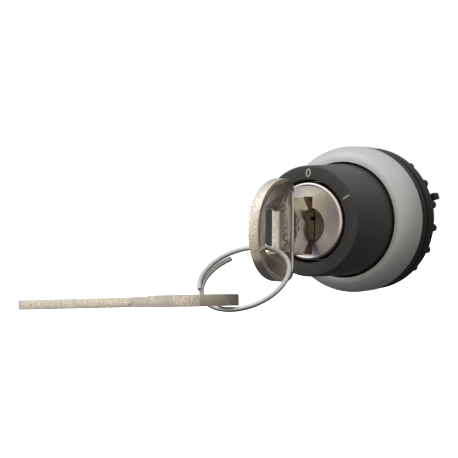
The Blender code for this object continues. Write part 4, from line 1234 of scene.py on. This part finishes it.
def area_light(name, stands_at, size, power, colour=(1, 1, 1)):
    """A soft rectangular lamp that points at the object."""
    lamp = bpy.data.lights.new(name, "AREA")
    lamp.shape = "RECTANGLE"
    lamp.size, lamp.size_y = size
    lamp.energy = power
    lamp.color = colour
    made = bpy.data.objects.new(name, lamp)
    bpy.context.scene.collection.objects.link(made)
    made.location = stands_at
    made.rotation_euler = (LAMP_AIM - Vector(stands_at)).to_track_quat("-Z", "Y").to_euler()


def mapped(tree, source, stretch):
    """The source over a stretch of its values as 0 to 1, with soft ends."""
    made = tree.nodes.new("ShaderNodeMapRange")
    made.interpolation_type = "SMOOTHSTEP"
    made.inputs["From Min"].default_value = stretch[0]
    made.inputs["From Max"].default_value = stretch[1]
    tree.links.new(source, made.inputs["Value"])
    return made.outputs["Result"]


def mixed(tree, factor, first, second):
    """A mix of two colours, each a socket or a plain colour."""
    made = tree.nodes.new("ShaderNodeMix")
    made.data_type = "RGBA"
    tree.links.new(factor, made.inputs["Factor"])
    for slot, source in (("A", first), ("B", second)):
        if isinstance(source, tuple):
            made.inputs[slot].default_value = (*source, 1.0)
        else:
            tree.links.new(source, made.inputs[slot])
    return made.outputs["Result"]


def make_world():
    """A studio that is bright above, left and in front, tan to the right and dark behind and below.

    The camera sees a white background instead."""
    world = bpy.data.worlds.new("studio")
    bpy.context.scene.world = world
    world.use_nodes = True
    tree = world.node_tree
    direction = tree.nodes.new("ShaderNodeTexCoord")
    split = tree.nodes.new("ShaderNodeSeparateXYZ")
    tree.links.new(direction.outputs["Generated"], split.inputs["Vector"])
    across, along, height = (split.outputs[axis] for axis in "XYZ")
    colour = mixed(tree, mapped(tree, across, LEFT_TO_RIGHT), LEFT, RIGHT)
    for source, stretch, following in (
        (along, SIDES_TO_FRONT, FRONT),
        (along, FRONT_TO_BEHIND, BEHIND),
        (height, LEVEL_TO_ABOVE, ABOVE),
        (height, LEVEL_TO_BELOW, BELOW),
    ):
        colour = mixed(tree, mapped(tree, source, stretch), colour, following)
    path = tree.nodes.new("ShaderNodeLightPath")
    seen = mixed(tree, path.outputs["Is Camera Ray"], colour, SEEN_BACKGROUND)
    tree.links.new(seen, tree.nodes["Background"].inputs["Color"])


def make_stage():
    """The pale floor, which neither lights the object nor shows in it, and two soft lamps."""
    pale, _, shader = start_material("pale_floor")
    shader.inputs["Base Color"].default_value = (FLOOR_GREY, FLOOR_GREY, FLOOR_GREY, 1)
    shader.inputs["Roughness"].default_value = 0.9
    shader.inputs["Emission Color"].default_value = (1, 1, 1, 1)
    shader.inputs["Emission Strength"].default_value = 1.0
    bm = bmesh.new()
    bmesh.ops.create_grid(bm, x_segments=1, y_segments=1, size=FLOOR_HALF_SIZE)
    bmesh.ops.translate(bm, verts=bm.verts, vec=FLOOR_PLACE)
    floor = finished("floor", bm)
    floor.data.materials.append(pale)
    floor.visible_diffuse = False
    floor.visible_glossy = False
    area_light("top_softbox", stands_at=(-0.25, -0.35, 0.7), size=(0.7, 0.5), power=1.2)
    area_light("left_fill", stands_at=(-0.6, -0.45, 0.25), size=(0.4, 0.5), power=0.4,
               colour=(0.93, 0.97, 1.0))


def finish_carried_parts(finishes):
    """Gives the CAD nodes that no new piece stands for their finish."""
    slots = {part["node"]: part["material_slot"] for part in frame["record"]["subparts"]}
    for node, carried in frame["nodes"].items():
        if not carried.hide_render:
            carried.data.materials.clear()
            carried.data.materials.append(finishes[slots[node]])


def main():
    bpy.context.scene.view_settings.view_transform = "Standard"
    finishes = make_materials()
    make_camera()
    make_world()
    make_stage()
    for make in (
        make_bezel,
        make_body,
        make_knob,
        make_legends,
        make_rotor,
        make_nut,
        make_gasket,
        make_washer,
        make_cover,
        make_plungers,
        make_keys,
        make_ring,
    ):
        make(finishes)
    finish_carried_parts(finishes)


main()
